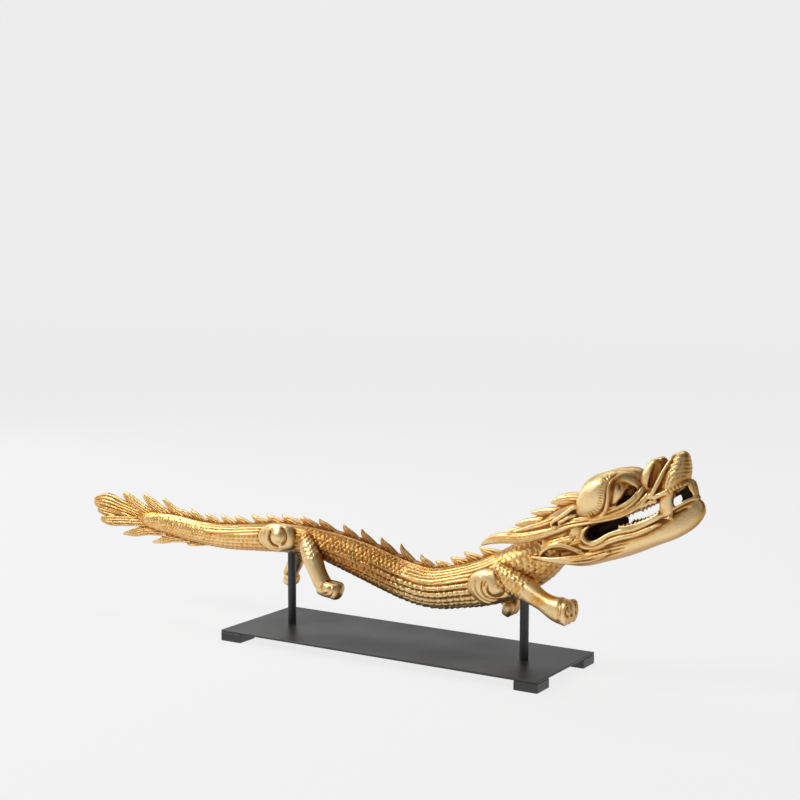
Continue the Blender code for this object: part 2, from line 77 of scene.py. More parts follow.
def smooth(rows, count):
    """Pass a smooth curve through rows of numbers, and return count even steps of it.

    The first three numbers of a row are a place, and the others go along with it.
    """
    rows = np.array(rows, float)
    gap = np.linalg.norm(np.diff(rows[:, :3], axis=0), axis=1)
    reached = run_along(rows)
    slope = np.diff(rows, axis=0) / gap[:, None]
    lean = np.vstack([slope[:1], slope[-1:]]) if len(rows) == 2 else np.vstack([
        slope[:1],
        (slope[:-1] * gap[1:, None] + slope[1:] * gap[:-1, None]) / (gap[1:] + gap[:-1])[:, None],
        slope[-1:],
    ])
    at = np.linspace(0, reached[-1], count)
    k = np.clip(np.searchsorted(reached, at, side="right") - 1, 0, len(gap) - 1)
    g = gap[k][:, None]
    u = (at - reached[k])[:, None] / g
    return (
        (1 + 2 * u) * (1 - u) ** 2 * rows[k]
        + u * (1 - u) ** 2 * g * lean[k]
        + u * u * (3 - 2 * u) * rows[k + 1]
        + u * u * (u - 1) * g * lean[k + 1]
    )


def step(low, high, value):
    """0 below low, 1 above high, and a smooth rise between."""
    t = np.clip((value - low) / (high - low), 0, 1)
    return t * t * (3 - 2 * t)


def window(low, high, value, edge):
    """1 between low and high, fading to 0 over edge outside."""
    return step(low - edge, low, value) * (1 - step(high, high + edge, value))


def wave(value):
    """Rounded ridges with sharp grooves between them: 0 in the grooves at whole numbers, 1 on the ridges."""
    return np.abs(np.sin(np.pi * value)) ** 0.75


def round_section(sides, power=2.0):
    """A unit outline: a circle at power 2, and squarer above it."""
    angle = 2 * np.pi * (np.arange(sides) + 0.5) / sides
    c, s = np.cos(angle), np.sin(angle)
    return np.sign(c) * abs(c) ** (2 / power), np.sign(s) * abs(s) ** (2 / power)


def leaf_section(grooves=3, depth=0.5, sides=56):
    """A flat unit outline with lengthwise grooves on both faces, as a carved leaf or lock has."""
    angle = 2 * np.pi * (np.arange(sides) + 0.5) / sides
    u = np.cos(angle)
    ridge = wave((u + 1) / 2 * (grooves + 1))
    v = np.sign(np.sin(angle)) * np.abs(np.sin(angle)) ** 0.7 * (1 - depth + depth * ridge)
    return u, v


SHELLS = []


def shell(rings):
    """Keep a closed skin made from a stack of closed rings."""
    count, sides = rings.shape[:2]
    points = np.vstack([rings.reshape(-1, 3), rings[0].mean(0), rings[-1].mean(0)])
    ring, side = np.meshgrid(np.arange(count - 1), np.arange(sides), indexing="ij")
    a = (ring * sides + side).ravel()
    b = (ring * sides + (side + 1) % sides).ravel()
    k = np.arange(sides)
    n = (k + 1) % sides
    last = (count - 1) * sides
    faces = np.vstack([
        np.stack([a, b, b + sides], 1),
        np.stack([a, b + sides, a + sides], 1),
        np.stack([np.full(sides, count * sides), n, k], 1),
        np.stack([np.full(sides, count * sides + 1), last + k, last + n], 1),
    ])
    p, q, r = (points[faces[:, i]] - points.mean(0) for i in range(3))
    if np.einsum("ij,ij->i", p, np.cross(q, r)).sum() < 0:
        faces = faces[:, ::-1]
    SHELLS.append((points, faces))


def grid_normals(points):
    """Outward directions of a stack of rings."""
    along = np.gradient(points, axis=0)
    around = np.roll(points, -1, axis=1) - np.roll(points, 1, axis=1)
    normal = np.cross(along, around)
    normal /= np.linalg.norm(normal, axis=2)[..., None] + 1e-9
    outward = points - points.mean(1)[:, None]
    if (normal * outward).sum() < 0:
        normal = -normal
    return normal


def opening(distance, length):
    """How wide a section is at a distance from its round end, which is full after the given length."""
    return np.sqrt(np.clip(1 - (1 - np.minimum(distance / length, 1)) ** 2, 0.02, 1))


def blunt_ends(path, start, end):
    """Close a path's section to a round end over the given grid lengths."""
    run = run_along(path)
    shrink = np.ones(len(path))
    if start:
        shrink *= opening(run, start)
    if end:
        shrink *= opening(run[-1] - run, end)
    path = path.copy()
    path[:, 3:5] *= shrink[:, None]
    return path


def loft(stations, section, flat=(0, 1, 0), blunt=(0, 0), pitch=0.9, relief=None):
    """A closed shape along a smooth path.

    A station is x, y, z, half width and half depth, with the depth along flat.
    blunt gives how far its two round ends reach, and pitch how close its rings stand.
    relief(run, u, v) gives the height of the carving at a distance along the path and a place on the section.
    """
    length = sum(math.dist(a[:3], b[:3]) for a, b in zip(stations, stations[1:]))
    path = blunt_ends(smooth(stations, max(8, int(length / pitch))), *blunt)
    ahead = np.gradient(path[:, :3], axis=0)
    ahead /= np.linalg.norm(ahead, axis=1)[:, None]
    flat = np.array(flat, float)
    deep = flat - (ahead @ flat)[:, None] * ahead
    deep /= np.linalg.norm(deep, axis=1)[:, None]
    across = np.cross(ahead, deep)
    u, v = section
    points = (
        path[:, None, :3]
        + across[:, None] * (path[:, 3:4] * u)[..., None]
        + deep[:, None] * (path[:, 4:5] * v)[..., None]
    )
    if relief:
        points += grid_normals(points) * relief(run_along(path)[:, None], u[None], v[None])[..., None]
    shell(points)


def mirrored(stations):
    """Stations on the far side of the dragon's middle plane."""
    return [(s[0], -s[1], *s[2:]) for s in stations]


def both_sides(stations, *rest, **more):
    """The same shape on the viewer's side and on the far side."""
    loft(stations, *rest, **more)
    loft(mirrored(stations), *rest, **more)


def scales(along, around, long, wide):
    """Rows of lapping scales: 1 on their edges, 0 in the gaps between them.

    Their rounded free edges point towards lower values of along.
    """
    row = np.floor(around / wide)
    across = 2 * (around / wide - row) - 1
    place = along / long - 0.5 * np.mod(row, 2) + 0.25 * across ** 2
    column = np.floor(place)
    part = place - column
    uneven = 0.8 + 0.2 * np.sin(12.9 * row + 78.2 * column)
    return uneven * step(0, 0.16, part) * (1 - 0.8 * part) * np.sqrt(np.clip(1 - across ** 4, 0, 1))


# The body

# Stations: grid x, y, z, half height, half width, and how far each belly row laps over the next, as a share
BODY = [
    (-500, 0, 144.0, 5.0, 4.0, 0.02),
    (-480, 0, 144.5, 9.0, 6.0, 0.03),
    (-450, 0, 143.0, 14.0, 9.0, 0.04),
    (-400, 0, 139.5, 18.0, 13.0, 0.05),
    (-350, 0, 134.0, 18.5, 15.5, 0.06),
    (-300, 0, 133.0, 19.5, 17.5, 0.06),
    (-250, 0, 137.0, 21.0, 19.0, 0.05),
    (-200, 0, 141.0, 22.0, 20.5, 0.04),
    (-150, 0, 141.5, 21.5, 21.5, 0.04),
    (-100, 0, 132.5, 25.0, 22.5, 0.05),
    (-50, 0, 120.0, 27.5, 23.5, 0.06),
    (0, 0, 106.0, 27.5, 24.5, 0.09),
    (50, 0, 98.5, 27.5, 25.5, 0.11),
    (100, 0, 107.0, 29.0, 26.5, 0.10),
    (140, 0, 117.5, 32.0, 27.0, 0.05),
    (175, 0, 134.0, 33.0, 27.0, 0.03),
    (207, 0, 155.0, 32.0, 24.0, 0.03),
    (238, 0, 182.0, 25.0, 20.0, 0.03),
]
# Rows of belly plates, in degrees down from the back
BELLY_TOP = 78.0
BELLY_ROW_STEP = 18.0
BELLY_ROWS = 5
# How finely the body is laid out before it is melted into the skin
BODY_SIDES = 260
BODY_RINGS = 1250
# The body is sunk by about the mean height of its relief
RELIEF_MEAN = 0.9


def body():
    """The trunk: a raised band down the back, scales and flutes on the sides, and lapping belly rows."""
    path = smooth(BODY, BODY_RINGS)
    ahead = np.gradient(path[:, :3], axis=0)
    ahead /= np.linalg.norm(ahead, axis=1)[:, None]
    up = np.stack([-ahead[:, 2], ahead[:, 1], ahead[:, 0]], 1)
    turn = 360.0 * (np.arange(BODY_SIDES) + 0.5) / BODY_SIDES
    low = np.where(turn > 180, 360 - turn, turn)[None]
    row = (low - BELLY_TOP) / BELLY_ROW_STEP
    lap = np.where((row > 0) & (row < BELLY_ROWS), np.mod(row, 1) ** 0.8, 0.0)
    lap = np.where(np.mod(row, 1) > 0.9, lap * (1 - np.mod(row, 1)) / 0.1, lap)
    reach = 1.0 + path[:, 5:6] * lap
    points = (
        path[:, None, :3]
        + up[:, None] * (path[:, 3:4] * reach * np.cos(np.radians(turn)))[..., None]
        + np.array([0.0, 1.0, 0.0]) * (path[:, 4:5] * reach * np.sin(np.radians(turn)))[..., None]
    )
    around = np.sin(np.radians(low)) ** 2
    mean = path[:, 3:4] * (1 - around) + path[:, 4:5] * around
    relief = body_relief(path[:, :1], run_along(path)[:, None], low, row, mean)
    shell(points + grid_normals(points) * (relief - RELIEF_MEAN)[..., None])


def body_relief(x, run, low, row, mean):
    """Height of the carving on the trunk, in grid steps.

    It is worked out at grid x and a distance along the spine, low degrees from the back and on a belly row,
    where the body has a mean radius.
    """
    breadth = np.radians(low) * mean
    row_number = np.floor(row)
    below_border = step(10.5, 13, breadth)
    above_belly = 1 - step(76, 82, low)
    net = window(-466, -345, x, 25) * below_border * (1 - step(140, 150, low))
    rough = window(-150, 2, x, 18) * below_border * (1 - step(132, 140, low))
    nape = window(172, 300, x, 16) * below_border * (1 - step(140, 150, low))
    plain = np.clip(1 - net - rough - nape, 0, 1)
    flutes = plain * below_border * above_belly * window(-480, 160, x, 30)
    ragged = 0.22 * np.sin(run / 2.3 + 5 * row_number) * np.sin(low / 3.1 + run / 11)
    plate = np.mod(
        run / 9.0 + 0.37 * row_number + 0.25 * ragged + 0.12 * np.sin(run / 7 + 3 * row_number), 1
    )
    plates = step(0, 0.14, plate) * (1 - 0.8 * plate) * (1 - above_belly) * np.clip(1 - net - nape, 0, 1)
    beside = np.abs(row + 0.12 * ragged - np.round(row)) * mean * np.radians(BELLY_ROW_STEP)
    on_belly = (row > -0.5) * (row < BELLY_ROWS - 0.5)
    grooves = np.exp(-(beside / 1.1) ** 2) * on_belly * window(-10, 118, x, 50)
    valley = window(5, 112, x, 20)
    grain = (
        np.sin(1.9 * run + 2.1 * np.sin(1.3 * breadth))
        * np.sin(2.3 * breadth + 1.7 * np.sin(0.9 * run))
    )
    return (
        1.9 * net * scales(run, breadth, 5.6, 4.4)
        + 2.4 * rough * scales(run + 2 * ragged, breadth, 7.0, 5.4)
        + 1.9 * nape * scales(run, breadth, 9.0, 6.6)
        + 1.7 * flutes * wave(breadth / 4.6)
        + (0.9 + 1.1 * valley) * plates
        - (1.4 + 1.4 * valley) * grooves
        + step(-440, -410, x) * 1.2 * window(9.2, 10.2, breadth, 1.5)
        + (0.2 + 0.25 * rough + 0.25 * (1 - above_belly)) * grain
    )


def body_frame(x):
    """The body's centre, half height, forward and upward directions at a grid x."""
    path = smooth(BODY, 400)
    k = int(np.argmin(abs(path[:, 0] - x)))
    ahead = path[min(k + 1, len(path) - 1), :3] - path[max(k - 1, 0), :3]
    ahead /= np.linalg.norm(ahead)
    return path[k, :3], path[k, 3], ahead, np.array([-ahead[2], 0.0, ahead[0]])


# Grid x of each fin, and how high its tip stands over the back
FIN_TIPS = [
    (-402, 7), (-378, 12), (-347, 11), (-317, 12), (-290, 12), (-257, 12), (-230, 12),
    (-203, 11), (-172, 11), (-143, 11), (-107, 12), (-78, 14), (-46, 12), (-16, 16),
    (21, 12), (53, 9), (84, 12), (106, 15), (133, 16),
]
FIN_LENGTH = 36.0
FIN_ROOT = 9.0
FIN_THICKNESS = 4.2
FIN_TIP = 0.8


def fins():
    """Saw-toothed fins along the back, their tips towards the tail, broader near the nape."""
    for x, height in FIN_TIPS:
        broad = FIN_ROOT * (1 + 0.35 * float(step(60, 110, x)))
        centre, half, ahead, up = body_frame(x)
        tip = centre + up * (half + height)
        lean = centre + ahead * FIN_LENGTH * 0.13 + up * (half + height * 0.56)
        middle = centre + ahead * FIN_LENGTH * 0.36 + up * (half + height * 0.20)
        root = centre + ahead * FIN_LENGTH * 0.85 + up * (half - FIN_ROOT * 0.45)
        loft([
            (*root, broad * 0.60, FIN_THICKNESS),
            (*middle, broad * 0.66, FIN_THICKNESS * 0.9),
            (*lean, broad * 0.42, FIN_THICKNESS * 0.65),
            (*tip, FIN_TIP, FIN_TIP),
        ], leaf_section(3, 0.7), blunt=(0, FIN_TIP))


def tail():
    """The tail's spray of leaves."""
    for stations, grooves in (
        ([(-462, 0, 146, 9, 6), (-508, 0, 155, 13, 5.5), (-540, 0, 160.5, 16, 5), (-567, 0, 161, 7, 3)], 5),
        ([(-462, 0, 141, 8, 6), (-505, 0, 144, 9, 5.5), (-535, 0, 146, 9, 5), (-560, 0, 149, 5, 3)], 3),
        ([(-460, -3, 139, 8, 5), (-505, -4, 136, 8, 5), (-532, -4, 134, 8, 4), (-551, -4, 135, 4, 2)], 3),
        ([(-420, 0, 129, 10, 6), (-460, 0, 125, 8, 5), (-485, 0, 119, 6.5, 4), (-509, 0, 115, 2, 1.5)], 4),
        ([(-374, 0, 123, 9, 6), (-408, 0, 118, 6.5, 5), (-430, 0, 112, 5, 4), (-450, 0, 107.5, 1.5, 1.5)], 3),
        ([(-340, 0, 118, 4, 6), (-365, 0, 114, 4, 5), (-382, 0, 111, 1.5, 2)], 2),
        ([(-446, 0, 149, 9, 5), (-474, 0, 160, 8.5, 5), (-493, 0, 170, 8, 4), (-507, 0, 179, 4, 2)], 4),
        ([(-414, 0, 150, 9, 5), (-438, 0, 162, 7.5, 5), (-454, 0, 171, 7.5, 4), (-466, 0, 180, 4, 2)], 4),
        ([(-378, 0, 150, 8, 5), (-404, 0, 161, 6, 4), (-418, 0, 169, 5.5, 3), (-428, 0, 176, 3, 2)], 3),
    ):
        loft(stations, leaf_section(grooves, 0.75), blunt=(0, 4))


# Legs

# The radius that the scales on a limb are laid out for
LIMB_RADIUS = 13
# Where a toe's stations are as shares of its reach, their half width as a share of the leg's, and half depth
TOE = ((0.0, 0.78, 6.5), (0.6, 0.80, 7.0), (1.0, 0.68, 6.0))


def hide_scales(end):
    """Rough scales on a limb, up to a distance along it."""
    def relief(run, u, v):
        turn = np.arctan2(v, u) * LIMB_RADIUS
        return 2.3 * (1 - step(end - 8.0, end, run)) * (scales(-run, turn, 6.8, 5.6) - 0.4)
    return relief


def leg(joints, reach, side, scaled):
    """A leg through its joints, with scales over a distance along it.

    It ends in a paw whose three toes reach out by the given step in x and z.
    """
    flip = -1 if side == "near" else 1
    stations = [(x, flip * y, z, width, width * 0.85) for x, y, z, width in joints]
    loft(stations, round_section(90, 2.3), blunt=(0, 7), relief=hide_scales(scaled))
    x, y, z, width = joints[-1]
    along, down = reach
    for spread in (-0.72, 0.0, 0.72):
        toe = [
            (x + along * s, flip * y + spread * width * (0.8 + 0.25 * s), z + down * s, width * wide, deep)
            for s, wide, deep in TOE
        ]
        loft(toe, round_section(36), blunt=(0, 5))


def legs():
    """Four legs, each stepping in its own place."""
    leg([
        (-154, 15, 146, 12), (-140, 24, 133, 13.5), (-128, 31, 118, 14), (-118, 35, 104, 12.5),
        (-108, 37, 91, 12.5), (-100, 37, 86, 12),
    ], (21, -3), "near", 50)
    leg([
        (-204, 18, 140, 15), (-198, 24, 122, 14), (-201, 29, 102, 12), (-212, 33, 84, 11), (-218, 34, 73, 11),
    ], (14, -3), "far", 40)
    leg([
        (158, 18, 132, 18), (186, 25, 124, 17), (212, 32, 115, 14.5), (234, 38, 107, 12.5),
        (252, 41, 101, 15.5), (266, 42, 99, 18.5),
    ], (12, -1), "near", 58)
    leg([
        (156, 18, 122, 17), (156, 26, 106, 15), (150, 33, 90, 13), (144, 37, 76, 14.5),
    ], (13, -4), "far", 34)


def paws():
    """Fuller fists over the toes of the viewer's legs."""
    loft([
        (-115, -35, 84, 9, 10), (-104, -37, 83.5, 11, 11), (-92, -38, 83, 11.5, 11.5),
        (-80, -39, 81.5, 10.5, 10.5), (-75, -39, 80.5, 6, 7),
    ], round_section(60, 2.4), blunt=(4, 5))
    loft([
        (250, -40, 100, 13, 12), (262, -42, 99, 16.5, 14), (272, -43, 98, 15, 13), (278.5, -43, 97, 9, 9),
    ], round_section(60, 2.4), blunt=(4, 5))


def haunches():
    """Rounded thighs and shoulders, each with a boss that a crescent curls round."""
    both_sides([
        (-233, -15, 140, 8, 6), (-218, -19, 142, 16, 9), (-202, -21, 144, 20.5, 10),
        (-186, -21, 145, 20, 9.5), (-174, -19, 145.5, 16.5, 8), (-167, -16, 146, 10, 6),
    ], round_section(90), blunt=(5, 6))
    dome(-191.5, -27, 146.5, 12.5, 7)
    both_sides([
        (117, -20, 108, 8, 7), (130, -25, 112, 19, 9), (146, -27, 114, 24, 10), (160, -28, 114, 21, 9),
        (172, -27, 110, 13, 7), (180, -26, 104, 6, 5),
    ], round_section(90), blunt=(5, 6))
    dome(164, -32, 115, 10.5, 6)


def dome(x, y, z, radius, height):
    """A low round boss on each side, seen face on."""
    both_sides([(x, y + height, z, radius, radius), (x, y - height, z, radius, radius)],
               round_section(60), flat=(1, 0, 0), blunt=(0, 1.6 * height), pitch=0.4)


# The head


def skull():
    """Upper jaw, lower jaw and cheek, with the bands that flow past the mouth."""
    # The upper jaw and the lower jaw
    loft([
        (214, 0, 176, 20, 19), (245, 0, 198, 24, 25), (280, 0, 218, 21, 27), (310, 0, 233, 17.5, 26),
        (345, 0, 246, 16, 22), (375, 0, 259, 13.5, 17), (394, 0, 270, 9, 13),
    ], round_section(110, 2.6), blunt=(8, 6))
    loft([
        (244, 0, 162, 11, 20), (275, 0, 169, 17, 24), (300, 0, 179, 19, 25), (330, 0, 190, 19.5, 24),
        (365, 0, 205, 18.5, 20), (395, 0, 219, 18, 15), (412, 0, 230.5, 16.5, 11), (425, 0, 244, 12.5, 7),
        (430, 0, 248, 10, 5),
    ], round_section(110, 2.5), blunt=(8, 8))
    # The cheek, plain at the mouth's corner and grooved behind it
    both_sides([
        (262, -24, 200, 13, 7), (276, -25, 199, 13, 6), (284, -24, 198, 11, 5),
    ], round_section(50), blunt=(6, 4))
    both_sides([
        (296, -20, 199, 8, 7), (280, -23, 194, 15, 7), (262, -24, 189, 15, 6.5), (242, -24, 184, 11, 6),
        (224, -23, 180, 7, 5),
    ], leaf_section(5, 0.22, 90), blunt=(5, 4))
    # The band over the mouth, and two more up to the nose
    for stations in (
        [(246, -26, 202, 4, 5), (268, -28, 209, 4.5, 5), (290, -28, 214.5, 4, 5), (312, -27, 220, 4, 5),
         (332, -25, 226.5, 4, 5), (348, -22.5, 235, 4, 5), (359, -20.5, 245, 4, 4.5), (368, -19, 257, 3, 4)],
        [(262, -25, 212, 4, 5), (285, -28, 217, 4.5, 5), (306, -28, 223, 4.5, 5), (326, -26, 231, 4.5, 5.5),
         (342, -23.5, 240, 4.5, 6), (353, -21, 251, 4, 5.5), (360, -18, 263, 3.5, 5)],
        [(296, -27, 221, 2.5, 5), (316, -28, 231, 4, 6), (333, -26, 240, 4, 6.5), (345, -23, 249, 3.5, 6),
         (352, -20, 259, 3, 5)],
    ):
        both_sides(stations, leaf_section(1, 0.35, 40), blunt=(6, 4))
    # The lower lip: an edge round the mouth's corner, and a thinner fold under it
    both_sides([
        (292, -26, 208, 2.6, 4), (285, -27, 203, 2.8, 4), (282, -27.5, 196, 3, 4), (286, -27.5, 189, 3.2, 4),
        (294, -26.5, 187, 3.6, 4), (304, -25.5, 191, 3.8, 4), (316, -24.5, 199.5, 3.8, 4),
        (332, -23, 205.5, 3.8, 4), (350, -21, 211, 3.8, 4), (366, -19, 219, 3.6, 4),
        (381, -17.2, 228, 3.4, 4), (390, -15.5, 234.5, 3.2, 4), (400, -13.5, 241.2, 3, 4),
        (409.5, -10, 247.3, 3, 4), (418, -6, 251.7, 3, 4), (425, -2, 253, 2.5, 3),
    ], round_section(30), blunt=(3, 3))
    both_sides([
        (270, -24, 189, 2.5, 3.5), (280, -26, 182.5, 3.2, 3.5), (293, -26, 180.5, 3.8, 3.5),
        (304, -25.5, 183.5, 4, 3.5), (317, -24.8, 191, 4, 3.5), (332, -23.6, 197.5, 3.8, 3.5),
        (350, -21.8, 203, 3.4, 3.5), (366, -19.8, 210.5, 3, 3.5), (383, -17.2, 220, 2, 3),
    ], round_section(30), blunt=(5, 6))


def brows():
    """Great rounded brows that curl over the eyes, with a wrinkled edge and a fold of lid."""
    both_sides([
        (272, -17, 221, 8, 9), (285, -20, 232, 17.5, 16), (299, -21, 246, 23.5, 20),
        (311, -20, 258, 21.5, 20), (323, -18, 267, 15, 16), (337, -17, 272, 9.5, 12),
        (348, -16, 267, 7, 9), (353, -16, 259, 3.5, 6),
    ], round_section(90), blunt=(6, 4))
    both_sides([
        (331, -27, 275, 2.4, 4), (324, -31, 271, 3.0, 5), (320.5, -33.5, 262, 3.0, 6),
        (320, -34, 250, 3.0, 6), (318, -33, 239, 3.0, 6), (313, -30, 229, 3.0, 5), (304, -28, 222, 2.5, 4),
    ], round_section(30), blunt=(3, 3))
    both_sides([
        (339, -22, 268, 2.5, 4), (336, -23.5, 252, 3.2, 4), (330, -24.5, 241, 3, 4), (322, -25, 233, 2, 3),
    ], leaf_section(1, 0.3, 40), blunt=(4, 4))


def snout():
    """The upturned lip, its rims, the nostril cups behind it and the gums."""
    lip_shield()
    # The lip's rim, the nostril's cup and its inner fold
    both_sides([
        (367, -19, 248, 3.4, 4.5), (372, -19, 257, 3.4, 4.5), (377.5, -18, 269, 3.4, 4.5),
        (383.5, -15, 283, 3.2, 4.5), (389, -11, 294, 3, 4), (394, -6, 302.5, 2.6, 4), (398, -2, 306, 2, 3),
    ], round_section(28), blunt=(3, 3))
    both_sides([
        (358, -11, 255, 8, 7), (363, -12, 269, 10.5, 7.5), (368, -11, 283, 10.5, 7), (373, -9, 293, 8, 6),
        (376, -8, 298, 4, 4),
    ], round_section(50, 2.4), blunt=(0, 3))
    both_sides([(357, -8, 268, 3, 4), (359, -9, 277, 3.5, 4), (363, -9, 284, 2, 3)],
               round_section(24), blunt=(2, 3))
    # The front gum, the post behind the gap and the fang before it
    both_sides([
        (371, -19, 250, 3.5, 4), (381, -18.5, 255, 3.4, 4), (390.5, -17.5, 260, 3.2, 4),
        (399.5, -15, 264.6, 3.1, 4), (407, -11, 268.4, 3, 4), (412, -6, 271, 3, 4), (413.5, -1, 271.5, 3, 3),
    ], round_section(30, 2.6), blunt=(3, 3))
    both_sides([(389, -15, 261, 9, 5), (389, -16, 247, 9, 4.5), (388, -15, 226, 8.5, 4.5)],
               round_section(40, 3))
    both_sides([(413.5, -5, 271, 4.4, 4), (417, -5, 263, 4.2, 3.6), (421, -4, 252, 2.6, 3)],
               round_section(26, 2.6))
    # The wall that stands behind the gap
    loft([(386, 0, 250, 12, 4), (400, 0, 255, 12, 4), (411, 0, 259, 11, 4), (418, 0, 258, 9, 3)],
         round_section(40, 3))


# Wrinkles of the upper lip: the grid x and z that they curl round, their spacing, and where they fade
WRINKLE_CENTRE = (410, 266)
WRINKLE_STEP = 4.8
WRINKLE_REACH = (37, 42)


def lip_shield():
    """The upper lip curled up at the front, a leaning cone with wrinkles round the front of the mouth."""
    sides, rings = 160, 110
    angle = 2 * np.pi * (np.arange(sides) + 0.5) / sides
    outlines = []
    for (x, z), lean, length, width in (
        ((392, 262), math.radians(33), 24.0, 20.0),
        ((395, 283), math.radians(17), 22.0, 22.0),
        ((403, 309.5), 0.0, 6.0, 8.0),
    ):
        along = np.array([math.cos(lean), 0, math.sin(lean)])
        outlines.append(
            np.array([x, 0, z])
            + np.outer(length * np.cos(angle), along)
            + np.outer(width * np.sin(angle), (0, 1, 0))
        )
    t = np.linspace(0, 1, rings)[:, None, None]
    points = (1 - t) ** 2 * outlines[0] + 2 * t * (1 - t) * outlines[1] + t * t * outlines[2]
    closing = np.sqrt(np.clip(1 - np.clip((t - 0.88) / 0.12, 0, 1) ** 2, 0.02, 1))
    middle = points.mean(1)[:, None]
    points = middle + (points - middle) * closing
    height = t[..., 0]
    away = np.hypot(points[..., 0] - WRINKLE_CENTRE[0], points[..., 2] - WRINKLE_CENTRE[1])
    ridge = (wave(away / WRINKLE_STEP) - 0.6) * 1.5 * (1 - step(*WRINKLE_REACH, away))
    ridge = ridge * step(0.10, 0.20, height) * (1 - step(0.8, 0.95, height))
    shell(points + grid_normals(points) * ridge[..., None])


def mane():
    """Ears, horn locks, the crest behind the brow, and the beard."""
    for grooves, lock in (
        (4, [
            (290, -25, 216, 3.5, 5), (262, -27, 206, 4.5, 5.5), (240, -28, 197.5, 5.5, 6),
            (220, -28, 190.5, 6.5, 6), (203, -27, 185.5, 7, 6), (186, -26, 182.5, 7.2, 5.5),
            (168, -25, 181, 7.4, 5), (150, -24, 176.5, 6, 4), (140, -23, 171.5, 3.6, 3),
            (134, -22, 167, 1.3, 2),
        ]),
        (2, [
            (268, -22, 226, 4.5, 6), (250, -24, 215, 6, 6), (228, -25, 204.5, 5.6, 5),
            (207, -24, 197.5, 4.4, 4.5), (190, -23, 192, 3.2, 4), (174, -22, 188, 1.3, 2),
        ]),
        (3, [(286, -25, 196, 6, 5), (268, -28, 189, 7, 5), (246, -28, 182, 6, 4.5), (222, -26, 175, 1.5, 2)]),
        (1, [
            (286, -24, 171, 4, 5), (272, -26.5, 177.5, 4, 5.5), (256, -28, 181, 3.8, 6),
            (240, -28, 178.5, 3.4, 6), (229, -27, 172, 3, 5), (221, -26, 163, 1.4, 2.5),
        ]),
        (3, [
            (318, -22, 180, 5, 4), (296, -24.5, 171, 7, 5), (272, -26, 164, 6.4, 5), (246, -26, 160, 4.6, 4),
            (208, -25, 160, 1.4, 2),
        ]),
    ):
        both_sides(lock, leaf_section(grooves, 0.5), blunt=(4, 2))
    for curl in (
        [(284, -24, 232, 3, 4), (271, -28, 231, 3.4, 5), (260, -29, 223, 3.4, 5), (250, -30, 215.5, 3, 4.5),
         (242.5, -30, 210, 2.6, 4), (240, -30, 206, 2.2, 3.6), (243, -30, 203.6, 2, 3.4),
         (248, -30, 205, 1.7, 3)],
        [(274, -26, 222, 2.6, 4), (264, -28.5, 218, 2.6, 4), (256, -30, 212.5, 2.4, 3.6),
         (250.5, -30, 209, 2, 3.4), (253, -30, 206.6, 1.8, 3), (259, -29, 207.6, 1.6, 3)],
    ):
        both_sides(curl, round_section(26), blunt=(3, 2))
    for crest in (
        [(280, 0, 236, 8, 8), (258, 0, 235, 11, 8), (240, 0, 233, 8, 6), (223, 0, 229, 1.5, 2)],
        [(255, 0, 220, 8, 7), (236, 0, 216, 9, 7), (213, 0, 215, 6, 5), (195, 0, 213, 1.5, 2)],
        [(232, 0, 203, 8, 7), (212, 0, 201, 9, 7), (190, 0, 199, 6, 5), (172, 0, 195, 1.5, 2)],
        [(215, 0, 190, 8, 7), (200, 0, 187, 8, 7), (180, 0, 186, 5, 5), (160, 0, 184, 1.5, 2)],
    ):
        loft(crest, leaf_section(5, 0.45), blunt=(0, 2))


# Outlines in grid x and z of what is cut from the sides of the head
MOUTH = [(284, 196), (290, 190), (298, 191), (308, 197.5), (320, 205), (333, 210), (343, 216), (338, 223),
         (325, 220), (312, 216), (298, 211), (287, 205)]
SLOT = [(318, 207), (333, 211.5), (348, 217.5), (362, 224), (374, 231), (381, 235.5), (374, 240.5),
        (365, 237.5), (354, 230.5), (342, 223), (326, 218)]
GAP = [(395, 249.5), (397, 256), (404, 262.5), (412, 268), (416, 261.5), (421, 256.5), (416, 252.5),
       (408, 249), (400, 244), (397, 243.5)]
WINDOW = [(396, 246.5), (396.5, 251), (405.5, 257), (408, 251.5), (405, 245), (399.5, 241), (397, 242)]
NOSTRIL = [(363.5, 261), (364.5, 271), (367.5, 284), (369.5, 294), (373.5, 298), (379.5, 296), (382.5, 292),
           (377.5, 280), (373.5, 269), (369.5, 260)]
PIT = [(326, 236), (340, 244), (350, 253), (353, 262), (345, 265), (337, 258), (332, 249)]
# Not cut: only where painted shade darkens the pit behind the eye
PIT_PAINTED_SHADE = [(324, 236), (338, 244), (352, 256), (348, 260), (340, 256), (332, 247)]


def hollows():
    """What is cut out of the head: mouth, gap at the fangs, nostril, and the pit behind the eye."""
    prism(GAP, [(-45, 1.0), (-3, 0.9)])
    slanting(WINDOW, -13, 45)
    prism(SLOT, [(-45, 1.0), (1, 1.0)])
    prism(NOSTRIL, [(-45, 1.0), (-17, 0.95), (-13.5, 0.8), (-11.5, 0.5)])
    prism(PIT, [(-45, 1.0), (-22, 1.0), (-15, 0.7)])
    prism(MOUTH, [(-45, 1.0), (-20, 1.0), (-12, 0.9), (-8, 0.6)])


# How far the window in the gap slants in grid x and z for each step across
WINDOW_SLANT = (-0.369, -0.158)


def slanting(outline, near, far):
    """A window cut right through, slanting back towards the tail as it goes."""
    ring = np.array(outline, float)
    shell(np.stack([
        np.stack([
            ring[:, 0] + WINDOW_SLANT[0] * (y - near),
            np.full(len(ring), y),
            ring[:, 1] + WINDOW_SLANT[1] * (y - near),
        ], 1)
        for y in (near - 14, far)
    ]))


